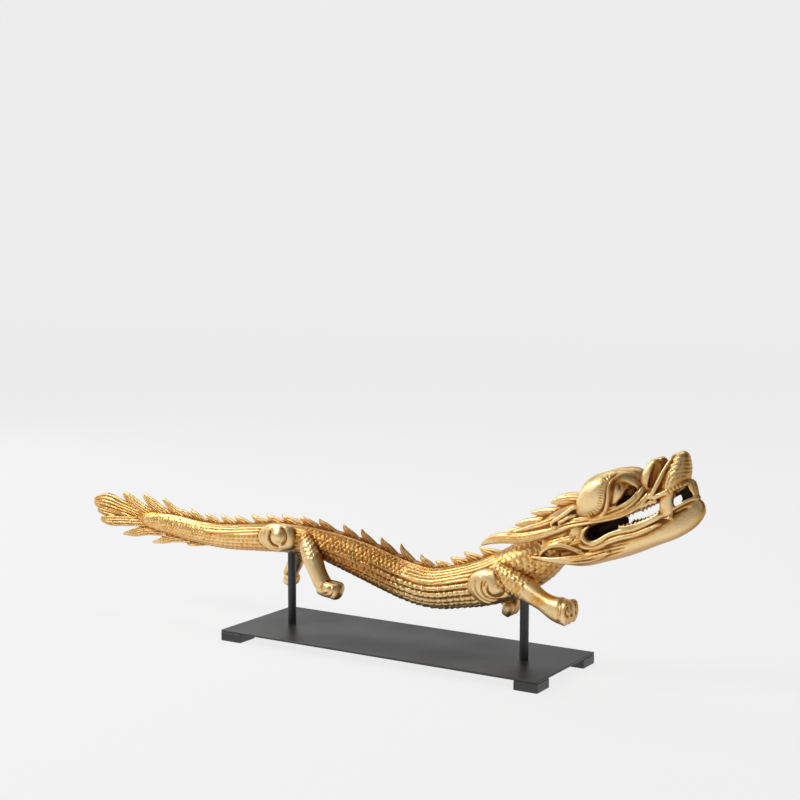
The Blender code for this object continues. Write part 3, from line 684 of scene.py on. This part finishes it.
def prism(outline, depths):
    """A rounded outline of grid x and z, carried inward from the side through depths with a scale at each."""
    ring = np.array(outline, float)
    for _ in range(3):
        ahead = np.roll(ring, -1, axis=0)
        ring = np.stack([0.75 * ring + 0.25 * ahead, 0.25 * ring + 0.75 * ahead], 1).reshape(-1, 2)
    middle = ring.mean(0)
    for side in (1, -1):
        shell(np.stack([
            np.stack([
                middle[0] + (ring[:, 0] - middle[0]) * scale,
                np.full(len(ring), side * y),
                middle[1] + (ring[:, 1] - middle[1]) * scale,
            ], 1)
            for y, scale in depths
        ]))


def teeth(stations, count, reach, width):
    """A row of small pointed teeth along a path, each reaching up or down from it."""
    row = smooth([(x, y, z, 0, 0) for x, y, z in stations], count)
    for x, y, z in row[:, :3]:
        both_sides([(x, y, z - reach * 0.5, width, width), (x, y, z + reach, width * 0.35, width * 0.4)],
                   round_section(14), pitch=0.6)


def mouth():
    """What stands in the cut mouth and under the brows: tongue, gums, rows of teeth and eyeballs."""
    loft([(270, 0, 188, 12, 7), (300, 0, 203, 10, 7), (332, 0, 218, 6, 6)], round_section(50), blunt=(0, 6))
    for gum in (
        [(328, -22, 209, 2.8, 4), (352, -20.5, 215.5, 3, 4), (368, -19, 223, 3, 4), (381, -17, 231.5, 3, 4)],
        [(340, -22, 229.5, 3, 4), (356, -20, 238, 3, 4), (367, -18.5, 244, 3, 4), (378, -17, 247.5, 3, 4)],
    ):
        both_sides(gum, round_section(26), blunt=(4, 4))
    teeth([(330, -23.5, 211.5), (352, -21.5, 218), (368, -20, 225.5), (379, -18.5, 232.5)], 11, 2.6, 2.0)
    teeth([(342, -23, 226.5), (356, -21, 235), (367, -19.5, 241), (375, -18.5, 244.5)], 7, -2.6, 2.0)
    both_sides([
        (329, -23, 270, 4, 4), (329.5, -25.5, 263, 8.5, 6.5), (328, -26.5, 254, 8, 6.5),
        (324.5, -26.5, 245, 5.5, 5.5), (321, -25.5, 236, 2.5, 4),
    ], round_section(50), blunt=(4, 3))


# Scored lines


def crescent(x, z, wide, high, first, last, count):
    """Points on part of an oval round grid x and z, between two angles in degrees."""
    return [
        (x + wide * math.cos(a), z + high * math.sin(a))
        for a in np.radians(np.linspace(first, last, count))
    ]


# Lines scored into both sides: depth, width, and grid x and z along each
LINES = [
    # Lip groove of the lower jaw, and the strands that run back along it
    (2.0, 1.2, [(381, 225), (392, 229.5), (403, 235.5), (413.5, 241.5), (426, 247)]),
    (1.1, 1.1, [(262, 160), (290, 165), (315, 172.5), (338, 181)]),
    (1.1, 1.1, [(258, 163.5), (288, 170), (315, 178.5), (342, 187)]),
    (1.1, 1.1, [(262, 168), (290, 174.5), (316, 183.5), (345, 192.5)]),
    (1.1, 1.1, [(270, 173.5), (296, 179), (320, 188), (346, 197)]),
    # Wrinkled edge of the brow, and the pupil
    (1.4, 1.1, [
        (332, 281), (323, 274), (319, 265), (317, 254), (316, 244), (312, 234), (303, 225), (290, 219.5),
    ]),
    (2.6, 1.9, [(333, 265.5), (333, 262), (333.5, 259)]),
] + [
    (0.9, 0.6, [(x, z), (x + dx, z + dz)])
    for x, z, dx, dz in (
        (322, 283, 3, -5), (318.5, 280, 3.5, -4.5), (315.5, 276.5, 4, -4), (313.5, 273, 4.5, -3.5),
        (312, 269.5, 5, -3), (311, 266, 5, -2.5), (310.3, 262.5, 5.5, -2), (309.8, 259, 5.5, -1.5),
        (309.4, 255.5, 5.5, -1.2), (309, 252, 5.5, -1), (308.6, 248.5, 5.5, -1), (308, 245, 5.5, -1.5),
        (307, 241.5, 5.5, -2), (305.5, 238, 5.2, -2.5), (303, 234.5, 5, -3.5), (300, 231.5, 4, -4.2),
        (296, 229, 3, -4.8), (292, 227, 2.2, -5),
    )
] + [
    # Divisions of the front teeth
    (1.2, 0.8, [(x, z), (x + 2.2, z - 6)])
    for x, z in ((392, 263.5), (396, 266), (400, 268), (404, 270), (408, 272))
] + [
    # Crescents round the boss on the thigh
    (4.0, 2.3, crescent(-193, 146, 13.5, 14, 135, 285, 9)),
    (3.0, 1.7, crescent(-190, 147, 12.5, 13, -75, 85, 9)),
    (1.3, 1.2, crescent(-196, 145, 21, 18, 100, 300, 9)),
    (1.1, 1.1, crescent(-200, 144, 25, 17, 120, 240, 9)),
    # Crescents and a flame on the shoulder
    (2.4, 1.5, crescent(163, 115, 11.5, 10.5, 150, 385, 10)),
    (1.7, 1.3, crescent(159, 115, 17, 16, 140, 300, 8)),
    (1.4, 1.2, crescent(155, 116, 24, 21, 150, 275, 7)),
    (1.9, 1.4, [(157, 143), (160, 135), (166, 128), (173, 122), (179, 115)]),
    (1.4, 1.2, [(162, 140), (166, 133), (172, 127)]),
    (1.6, 1.3, [(149, 124), (147, 120), (146, 115)]),
    # Thumb and pad of the front paw
    (2.2, 1.5, crescent(284, 103, 8, 9, 95, 265, 8)),
    (1.6, 1.3, [(264, 118), (266, 110), (267, 102), (265, 94)]),
    (1.6, 1.3, [(-98, 78), (-92, 81), (-88, 86), (-87, 92)]),
    (1.2, 1.1, [(-88, 75), (-84, 79), (-81, 84)]),
    # Folds behind the corner of the mouth
    (1.2, 1.2, [(268, 203), (262, 197), (256, 192)]),
    (1.2, 1.2, [(275, 196), (270, 189), (262, 184)]),
    (1.6, 1.3, [(245, 201), (262, 208), (280, 213), (296, 217)]),
]


# One skin


def gather(name):
    """One mesh of the shells made so far."""
    points, faces, start = [], [], 0
    for shell_points, shell_faces in SHELLS:
        points.append(shell_points)
        faces.append(shell_faces + start)
        start += len(shell_points)
    SHELLS.clear()
    points = np.vstack(points)
    faces = np.vstack(faces)
    mesh = bpy.data.meshes.new(name)
    mesh.vertices.add(len(points))
    mesh.vertices.foreach_set("co", points.astype(np.float32).ravel())
    mesh.loops.add(3 * len(faces))
    mesh.loops.foreach_set("vertex_index", faces.astype(np.int32).ravel())
    mesh.polygons.add(len(faces))
    mesh.polygons.foreach_set("loop_start", np.arange(0, 3 * len(faces), 3, dtype=np.int32))
    mesh.update(calc_edges=True)
    piece = bpy.data.objects.new(name, mesh)
    bpy.context.scene.collection.objects.link(piece)
    return piece


def numbers(mesh):
    """Points and outward directions of a mesh."""
    place = np.empty(len(mesh.vertices) * 3, np.float32)
    mesh.vertices.foreach_get("co", place)
    normal = np.empty(len(mesh.vertices) * 3, np.float32)
    mesh.vertices.foreach_get("normal", normal)
    return place.reshape(-1, 3).astype(float), normal.reshape(-1, 3).astype(float)


def keep_as_shell(piece):
    """Turn a piece back into a kept shell."""
    mesh = piece.data
    mesh.calc_loop_triangles()
    faces = np.empty(len(mesh.loop_triangles) * 3, np.int32)
    mesh.loop_triangles.foreach_get("vertices", faces)
    SHELLS.append((numbers(mesh)[0], faces.reshape(-1, 3)))
    bpy.data.objects.remove(piece)


def skin(piece, voxel):
    """Close everything in a piece into one skin."""
    melt = piece.modifiers.new("melt", "REMESH")
    melt.mode = "VOXEL"
    melt.voxel_size = voxel
    settle(piece)


def cut(piece, tool):
    """Take a cutter out of a piece."""
    chisel = piece.modifiers.new("chisel", "BOOLEAN")
    chisel.operation = "DIFFERENCE"
    chisel.solver = "MANIFOLD"
    chisel.object = tool
    settle(piece)
    bpy.data.objects.remove(tool)


def score(place, normal, lines):
    """Sink fine lines into both sides of a skin, where it faces its own side."""
    for depth, width, points in lines:
        path = smooth([(x, 0, z, 0, 0) for x, z in points], 8 * len(points))[:, (0, 2)]
        low, high = path.min(0) - 3 * width, path.max(0) + 3 * width
        flat = place[:, (0, 2)]
        near = (flat > low).all(1) & (flat < high).all(1)
        near &= (normal[:, 1] * np.sign(place[:, 1]) > 0.15) & (np.abs(place[:, 1]) > 9)
        at = np.flatnonzero(near)
        spot = flat[at]
        best = np.full(len(at), 1e9)
        along = np.zeros(len(at))
        for k in range(len(path) - 1):
            start, run = path[k], path[k + 1] - path[k]
            t = np.clip((spot - start) @ run / (run @ run), 0, 1)
            gap = ((spot - start - t[:, None] * run) ** 2).sum(1)
            closer = gap < best
            best[closer] = gap[closer]
            along[closer] = (k + t[closer]) / (len(path) - 1)
        fade = np.clip(np.minimum(along, 1 - along) / 0.12, 0.15, 1)
        place[at] -= normal[at] * (depth * fade * np.exp(-best / width ** 2))[:, None]


def carve():
    """The whole dragon as one light skin."""
    skull()
    brows()
    snout()
    mane()
    head = gather("head")
    skin(head, HEAD_VOXEL)
    hollows()
    cutters = gather("cutters")
    skin(cutters, HEAD_VOXEL)
    cut(head, cutters)
    keep_as_shell(head)
    mouth()
    body()
    fins()
    tail()
    legs()
    paws()
    haunches()
    piece = gather("carved_dragon")
    skin(piece, VOXEL)
    place, normal = numbers(piece.data)
    score(place, normal, LINES)
    piece.data.vertices.foreach_set("co", (place * GRID + GRID_ORIGIN).astype(np.float32).ravel())
    piece.data.update()
    soften = piece.modifiers.new("soften", "SMOOTH")
    soften.factor = 0.35
    soften.iterations = 1
    settle(piece)
    count = sum(len(p.vertices) - 2 for p in piece.data.polygons)
    thin = piece.modifiers.new("thin", "DECIMATE")
    thin.ratio = min(1.0, TRIANGLES / count)
    settle(piece)
    piece.data.shade_smooth()
    return piece


def settle(piece):
    """Keep what the modifiers make as the piece's own mesh."""
    graph = bpy.context.evaluated_depsgraph_get()
    made = bpy.data.meshes.new_from_object(piece.evaluated_get(graph))
    old = piece.data
    piece.modifiers.clear()
    piece.data = made
    bpy.data.meshes.remove(old)


def inside(grid, outline):
    """Which points lie within an outline of grid x and z."""
    hit = np.zeros(len(grid), bool)
    for (x0, z0), (x1, z1) in zip(outline, outline[1:] + outline[:1]):
        crosses = (grid[:, 2] < z0) != (grid[:, 2] < z1)
        hit ^= crosses & (grid[:, 0] < (x1 - x0) * (grid[:, 2] - z0) / (z1 - z0 + 1e-9) + x0)
    return hit


# How deep in metres a point lies under its near and its wider surroundings to count as fully sunk
FINE_DEPTH = 0.00018
BROAD_DEPTH = 0.0009
# Parts of the head that are marked as deep, so that they take painted shade: outline, half depth in grid y,
# and the depth they are given
DEEP_PARTS = (
    (MOUTH, 21, 1.6), (SLOT, 17, 1.4), (GAP, 10, 1.6),
    (NOSTRIL, 15, 0.5), (PIT, 22, 0.5), (PIT_PAINTED_SHADE, 24, 1.4),
)


def mark_hollows_and_shade(piece):
    """Store on each point how deep it lies in the carving, and how much painted shade browns it.

    The depth goes from -1 on sharp edges to 1 in tight hollows, and above 1 in the mouth's dark, which is
    painted shade.
    """
    mesh = piece.data
    count = len(mesh.vertices)
    place, normal = numbers(mesh)
    edge = np.empty(len(mesh.edges) * 2, np.int32)
    mesh.edges.foreach_get("vertices", edge)
    a, b = edge.reshape(-1, 2).T
    degree = np.bincount(a, minlength=count) + np.bincount(b, minlength=count)

    def spread(values):
        return (np.bincount(a, values[b], count) + np.bincount(b, values[a], count)) / degree

    flat = place.copy()
    heights = []
    for _ in range(16):
        flat = np.stack([spread(flat[:, i]) for i in range(3)], 1)
        heights.append(((flat - place) * normal).sum(1))
    fine, broad = heights[1], heights[-1]
    value = np.clip(fine / FINE_DEPTH, -1, 1) * 0.5 + np.clip(broad / BROAD_DEPTH, -1, 1) * 0.5
    value = 0.5 * value + 0.5 * spread(value)
    grid = (place - GRID_ORIGIN) / GRID
    # Painted shade: points inside these outlines are set deep, and the deepest are coloured near black
    for outline, depth, dark in DEEP_PARTS:
        value[inside(grid, outline) & (abs(grid[:, 1]) < depth)] = dark
    # Painted light: the thighs and hind feet are made paler
    value -= 0.4 * window(-222, -128, grid[:, 0], 8) * step(24, 29, np.abs(grid[:, 1]))
    # Stored on the points: how much painted shade browns them, and their depth
    for name, values in (("painted_shade", painted_shade(grid, normal)), ("hollow", value)):
        store = mesh.attributes.new(name, "FLOAT", "POINT")
        store.data.foreach_set("value", values.astype(np.float32))


def painted_shade(grid, normal):
    """How much painted shade browns the gilding, from 0 to 1."""
    x, y, z = grid.T
    # Painted shade on the body's slope, on faces turned towards the head, the brow's front, the lip, the
    # tail's end and the chin
    slope = 0.8 * window(-148, -8, x, 26) * (1 - step(27, 31, np.abs(y)))
    facing_ahead = 0.75 * step(0.25, 0.85, normal[:, 0]) * step(-300, -250, x)
    brow_front = 0.45 * window(324, 352, x, 6) * step(256, 264, z)
    lip = 0.25 * window(396, 440, x, 10) * step(258, 266, z)
    tail_end = 0.30 * (1 - step(-500, -470, x))
    chin = 0.35 * step(392, 425, x) * (1 - step(246, 252, z))
    return np.clip(slope + facing_ahead + brow_front + lip + tail_end + chin, 0, 1)


# Materials


class Nodes:
    """Short ways to add and join a material's nodes."""

    def __init__(self, name):
        self.material = bpy.data.materials.new(name)
        self.material.use_nodes = True
        self.tree = self.material.node_tree
        self.shader = self.tree.nodes["Principled BSDF"]

    def add(self, kind, **inputs):
        node = self.tree.nodes.new("ShaderNode" + kind)
        for key, value in inputs.items():
            self.give(node.inputs[key.replace("_", " ")], value)
        return node

    def give(self, socket, value):
        if isinstance(value, bpy.types.NodeSocket):
            self.tree.links.new(value, socket)
        else:
            socket.default_value = value

    def noise(self, **inputs):
        return self.add("TexNoise", **inputs).outputs["Fac"]

    def math(self, how, *values):
        node = self.tree.nodes.new("ShaderNodeMath")
        node.operation = how
        for socket, value in zip(node.inputs, values):
            self.give(socket, value)
        return node.outputs[0]

    def ramp(self, value, low, high, to_low=0.0, to_high=1.0):
        node = self.add("MapRange", Value=value)
        node.interpolation_type = "SMOOTHSTEP"
        node.inputs["From Min"].default_value = low
        node.inputs["From Max"].default_value = high
        node.inputs["To Min"].default_value = to_low
        node.inputs["To Max"].default_value = to_high
        return node.outputs["Result"]

    def mix(self, amount, first, second, how="MIX"):
        node = self.tree.nodes.new("ShaderNodeMix")
        node.data_type = "RGBA"
        node.blend_type = how
        self.give(node.inputs["Factor"], amount)
        self.give(node.inputs["A"], first)
        self.give(node.inputs["B"], second)
        return node.outputs["Result"]

    def stored(self, name):
        """A value that is stored on the points of the mesh."""
        node = self.add("Attribute")
        node.attribute_name = name
        return node.outputs["Fac"]


def colour(red, green, blue):
    return (red, green, blue, 1.0)


GOLD_DEEP = colour(0.84, 0.41, 0.085)
GOLD = colour(0.92, 0.52, 0.145)
GOLD_PALE = colour(0.97, 0.63, 0.25)
# Painted highlight for the edges
GOLD_PAINTED_HIGHLIGHT = colour(1.0, 0.77, 0.42)
# The clay in the hollows: partly the real clay under the leaf, partly painted shade
CLAY_AND_SHADE = colour(0.34, 0.12, 0.012)
CLAY_WORN = colour(0.42, 0.17, 0.03)
# Painted shade for surfaces that face down
UNDERSIDE_PAINTED_SHADE = colour(0.30, 0.11, 0.015)
# Painted shade that browns the slope, faces turned to the head, brow, lip, tail's end and chin
PAINTED_SHADE_BROWN = colour(0.56, 0.42, 0.26)
# Painted shade for the inside of the mouth and the pits
MOUTH_PAINTED_SHADE = colour(0.035, 0.012, 0.003)
BLACK = colour(0.024, 0.025, 0.025)
BLACK_PALE = colour(0.035, 0.036, 0.036)


def gold_leaf():
    """Worn gold leaf over warm clay: a painted highlight on the edges, orange brown clay in the hollows
    deepened by painted shade, and painted shade underneath, where it is stored on the points, and in the
    mouth.
    """
    n = Nodes("gold_leaf")
    place = n.add("TexCoord").outputs["Object"]
    depth = n.stored("hollow")
    cloud = n.noise(Vector=place, Scale=34.0, Detail=4.0, Roughness=0.6)
    speck = n.noise(Vector=place, Scale=420.0, Detail=5.0, Roughness=0.65)
    patch = n.noise(Vector=place, Scale=120.0, Detail=6.0, Roughness=0.7, Distortion=0.6)
    leaf = n.mix(n.ramp(cloud, 0.35, 0.68), GOLD_DEEP, GOLD)
    leaf = n.mix(n.ramp(patch, 0.45, 0.72), leaf, GOLD_PALE)
    # Painted highlight: the edges are made paler
    edge = n.ramp(depth, -0.15, -0.7)
    leaf = n.mix(n.math("MULTIPLY", edge, 0.85), leaf, GOLD_PAINTED_HIGHLIGHT)
    uneven = n.math("MULTIPLY", n.math("SUBTRACT", speck, 0.5), 0.5)
    # The clay shows in the hollows, deepened by painted shade
    sunk = n.ramp(n.math("ADD", depth, uneven), 0.0, 0.65)
    tone = n.mix(n.math("MULTIPLY", sunk, 0.90), leaf, CLAY_AND_SHADE)
    worn = n.ramp(n.math("ADD", speck, n.math("MULTIPLY", patch, 0.5)), 0.87, 1.0)
    tone = n.mix(n.math("MULTIPLY", worn, 0.5), tone, CLAY_WORN)
    # Painted shade: surfaces that face down are browned
    facing = n.add("SeparateXYZ", Vector=n.add("NewGeometry").outputs["Normal"])
    underside_shade = n.ramp(facing.outputs["Z"], -0.25, -0.85, 0.0, 0.6)
    tone = n.mix(underside_shade, tone, UNDERSIDE_PAINTED_SHADE)
    # Painted shade from the stored values
    tone = n.mix(n.stored("painted_shade"), tone, PAINTED_SHADE_BROWN, "MULTIPLY")
    # Painted shade: the inside of the mouth and the pits are made near black
    tone = n.mix(n.ramp(depth, 0.95, 1.35), tone, MOUTH_PAINTED_SHADE)
    n.give(n.shader.inputs["Base Color"], tone)
    n.give(n.shader.inputs["Metallic"], n.math("SUBTRACT", 0.96, n.math("MULTIPLY", sunk, 0.35)))
    n.give(n.shader.inputs["Roughness"], n.math(
        "ADD", n.ramp(patch, 0.3, 0.75, 0.36, 0.48), n.math("MULTIPLY", sunk, 0.22)))
    fine = n.add("Bump", Height=speck, Strength=0.35, Distance=0.0007)
    broad = n.add("Bump", Height=patch, Strength=0.50, Distance=0.0012, Normal=fine.outputs["Normal"])
    n.give(n.shader.inputs["Normal"], broad.outputs["Normal"])
    return n.material


def black_steel():
    """Satin black coated steel with a fine even grain."""
    n = Nodes("satin_black")
    place = n.add("TexCoord").outputs["Object"]
    grain = n.noise(Vector=place, Scale=2600.0, Detail=3.0, Roughness=0.5)
    cloud = n.noise(Vector=place, Scale=9.0, Detail=3.0, Roughness=0.55)
    n.give(n.shader.inputs["Base Color"], n.mix(cloud, BLACK, BLACK_PALE))
    n.give(n.shader.inputs["Roughness"], n.ramp(cloud, 0.3, 0.7, 0.40, 0.48))
    n.shader.inputs["Specular IOR Level"].default_value = 0.62
    bump = n.add("Bump", Height=grain, Strength=0.12, Distance=0.0001)
    n.give(n.shader.inputs["Normal"], bump.outputs["Normal"])
    return n.material


# The room


PAPER_SHADE = 0.12
PAPER_GLOW = 0.81
# Sine and cosine of the turn of the set on the floor
SET_SIN, SET_COS = 0.523, 0.852


def paper():
    """Pale paper that glows of its own, so that shadows on it stay faint.

    It is brighter on the left and high up behind, and darker in front on the right, as a studio's cards are,
    for the gilding to mirror.
    """
    n = Nodes("pale_paper")
    n.shader.inputs["Base Color"].default_value = colour(PAPER_SHADE, PAPER_SHADE, PAPER_SHADE)
    n.shader.inputs["Roughness"].default_value = 1.0
    n.shader.inputs["Specular IOR Level"].default_value = 0.0
    n.shader.inputs["Emission Color"].default_value = colour(1.0, 1.0, 1.0)
    place = n.add("SeparateXYZ", Vector=n.add("TexCoord").outputs["Object"])
    x, y, z = (place.outputs[name] for name in "XYZ")
    ahead = n.math("SUBTRACT", n.math("MULTIPLY", y, SET_COS), n.math("MULTIPLY", x, SET_SIN))
    aside = n.math("ADD", n.math("MULTIPLY", x, SET_COS), n.math("MULTIPLY", y, SET_SIN))
    high = n.math("MULTIPLY", n.ramp(z, 4.3, 5.6), n.ramp(aside, -3.0, 3.0, 0.45, -0.5))
    front_right = n.math("MULTIPLY", n.ramp(ahead, -0.72, -1.15, 0.0, 0.69), n.ramp(aside, -0.6, 0.3))
    left = n.math("MULTIPLY", n.ramp(aside, -1.0, -1.8, 0.0, 0.45), n.ramp(ahead, 1.6, 0.8))
    glow = n.math("ADD", n.math("SUBTRACT", PAPER_GLOW, front_right), n.math("ADD", high, left))
    n.give(n.shader.inputs["Emission Strength"], glow)
    return n.material


def sweep():
    """A pale floor that curves up into a backdrop far behind."""
    width, front, back, height, bend = 30.0, -14.0, 9.0, 9.0, 4.0
    arc = [(back + bend * math.sin(a), bend - bend * math.cos(a)) for a in np.linspace(0, math.pi / 2, 24)]
    profile = [(front, 0.0)] + arc + [(back + bend, height)]
    points = [(side * width / 2, y, z) for y, z in profile for side in (-1, 1)]
    faces = [(2 * k, 2 * k + 1, 2 * k + 3, 2 * k + 2) for k in range(len(profile) - 1)]
    mesh = bpy.data.meshes.new("floor")
    mesh.from_pydata(points, [], faces)
    mesh.shade_smooth()
    floor = bpy.data.objects.new("floor", mesh)
    bpy.context.scene.collection.objects.link(floor)
    mesh.materials.append(paper())


def area_light(name, place, size, power, at=(0.05, 0.0, 0.15)):
    """A soft rectangular light that looks at the dragon."""
    lamp = bpy.data.lights.new(name, "AREA")
    lamp.shape = "RECTANGLE"
    lamp.size, lamp.size_y = size
    lamp.energy = power
    holder = bpy.data.objects.new(name, lamp)
    holder.location = place
    holder.rotation_euler = (Vector(at) - Vector(place)).to_track_quat("-Z", "Y").to_euler()
    bpy.context.scene.collection.objects.link(holder)


def lights():
    """A soft key from the left, weaker lights from the right, the left and above, and a dim surround."""
    area_light("key", (-2.0, -1.45, 2.1), (0.9, 0.9), 44)
    area_light("fill", (2.4, -1.4, 1.3), (0.9, 1.2), 5)
    area_light("left", (-2.7, 0.6, 0.9), (1.2, 1.2), 12)
    area_light("top", (-0.5, 0.9, 2.4), (2.0, 0.8), 14)
    world = bpy.data.worlds.new("surround")
    bpy.context.scene.world = world
    world.use_nodes = True
    surround = world.node_tree.nodes["Background"]
    surround.inputs["Color"].default_value = colour(1.0, 0.97, 0.93)
    surround.inputs["Strength"].default_value = 0.12
    bpy.context.scene.view_settings.view_transform = "Standard"


# The photograph's view, solved from the corners of the plate: the camera's height over the plate, where it
# stands from the plate's middle as shares of that height, its turn, and its focal length in pixels
CAMERA_HEIGHT = 0.5344
CAMERA_ASIDE = (2.01935, -3.31111)
CAMERA_TURN = (
    (0.85230341, -0.05344166, 0.52031038),
    (0.52303444, 0.07999597, -0.84854913),
    (0.00372514, 0.99536156, 0.09613267),
)
FOCAL_PIXELS = 1527.737
FRAME_PIXELS = 800
SENSOR = 36.0


def camera():
    """The camera at the photograph's viewing angle."""
    made = bpy.data.cameras.new("camera")
    made.sensor_width = SENSOR
    made.lens = FOCAL_PIXELS / FRAME_PIXELS * SENSOR
    holder = bpy.data.objects.new("camera", made)
    x, y = (share * CAMERA_HEIGHT for share in CAMERA_ASIDE)
    middle = Vector((PLATE_MIDDLE.x, PLATE_MIDDLE.y, PLATE_HIGH.z))
    stand = Matrix.Translation(middle + Vector((x, y, CAMERA_HEIGHT)))
    holder.matrix_world = stand @ Matrix(CAMERA_TURN).to_4x4()
    bpy.context.scene.collection.objects.link(holder)
    bpy.context.scene.camera = holder


STEEL_NODES = (
    "base_plate", "rod_rear", "rod_front",
    "foot_tail_near", "foot_tail_far", "foot_head_near", "foot_head_far",
)


def dress():
    """The carved dragon in place of its solid, and the steel's finish on the stand."""
    carving = carve()
    mark_hollows_and_shade(carving)
    carving.data.materials.append(gold_leaf())
    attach(carving, "root")
    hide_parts("dragon")
    steel = black_steel()
    for node in STEEL_NODES:
        piece = bpy.data.objects[node]
        piece.data.materials.clear()
        piece.data.materials.append(steel)


camera()
sweep()
lights()
dress()
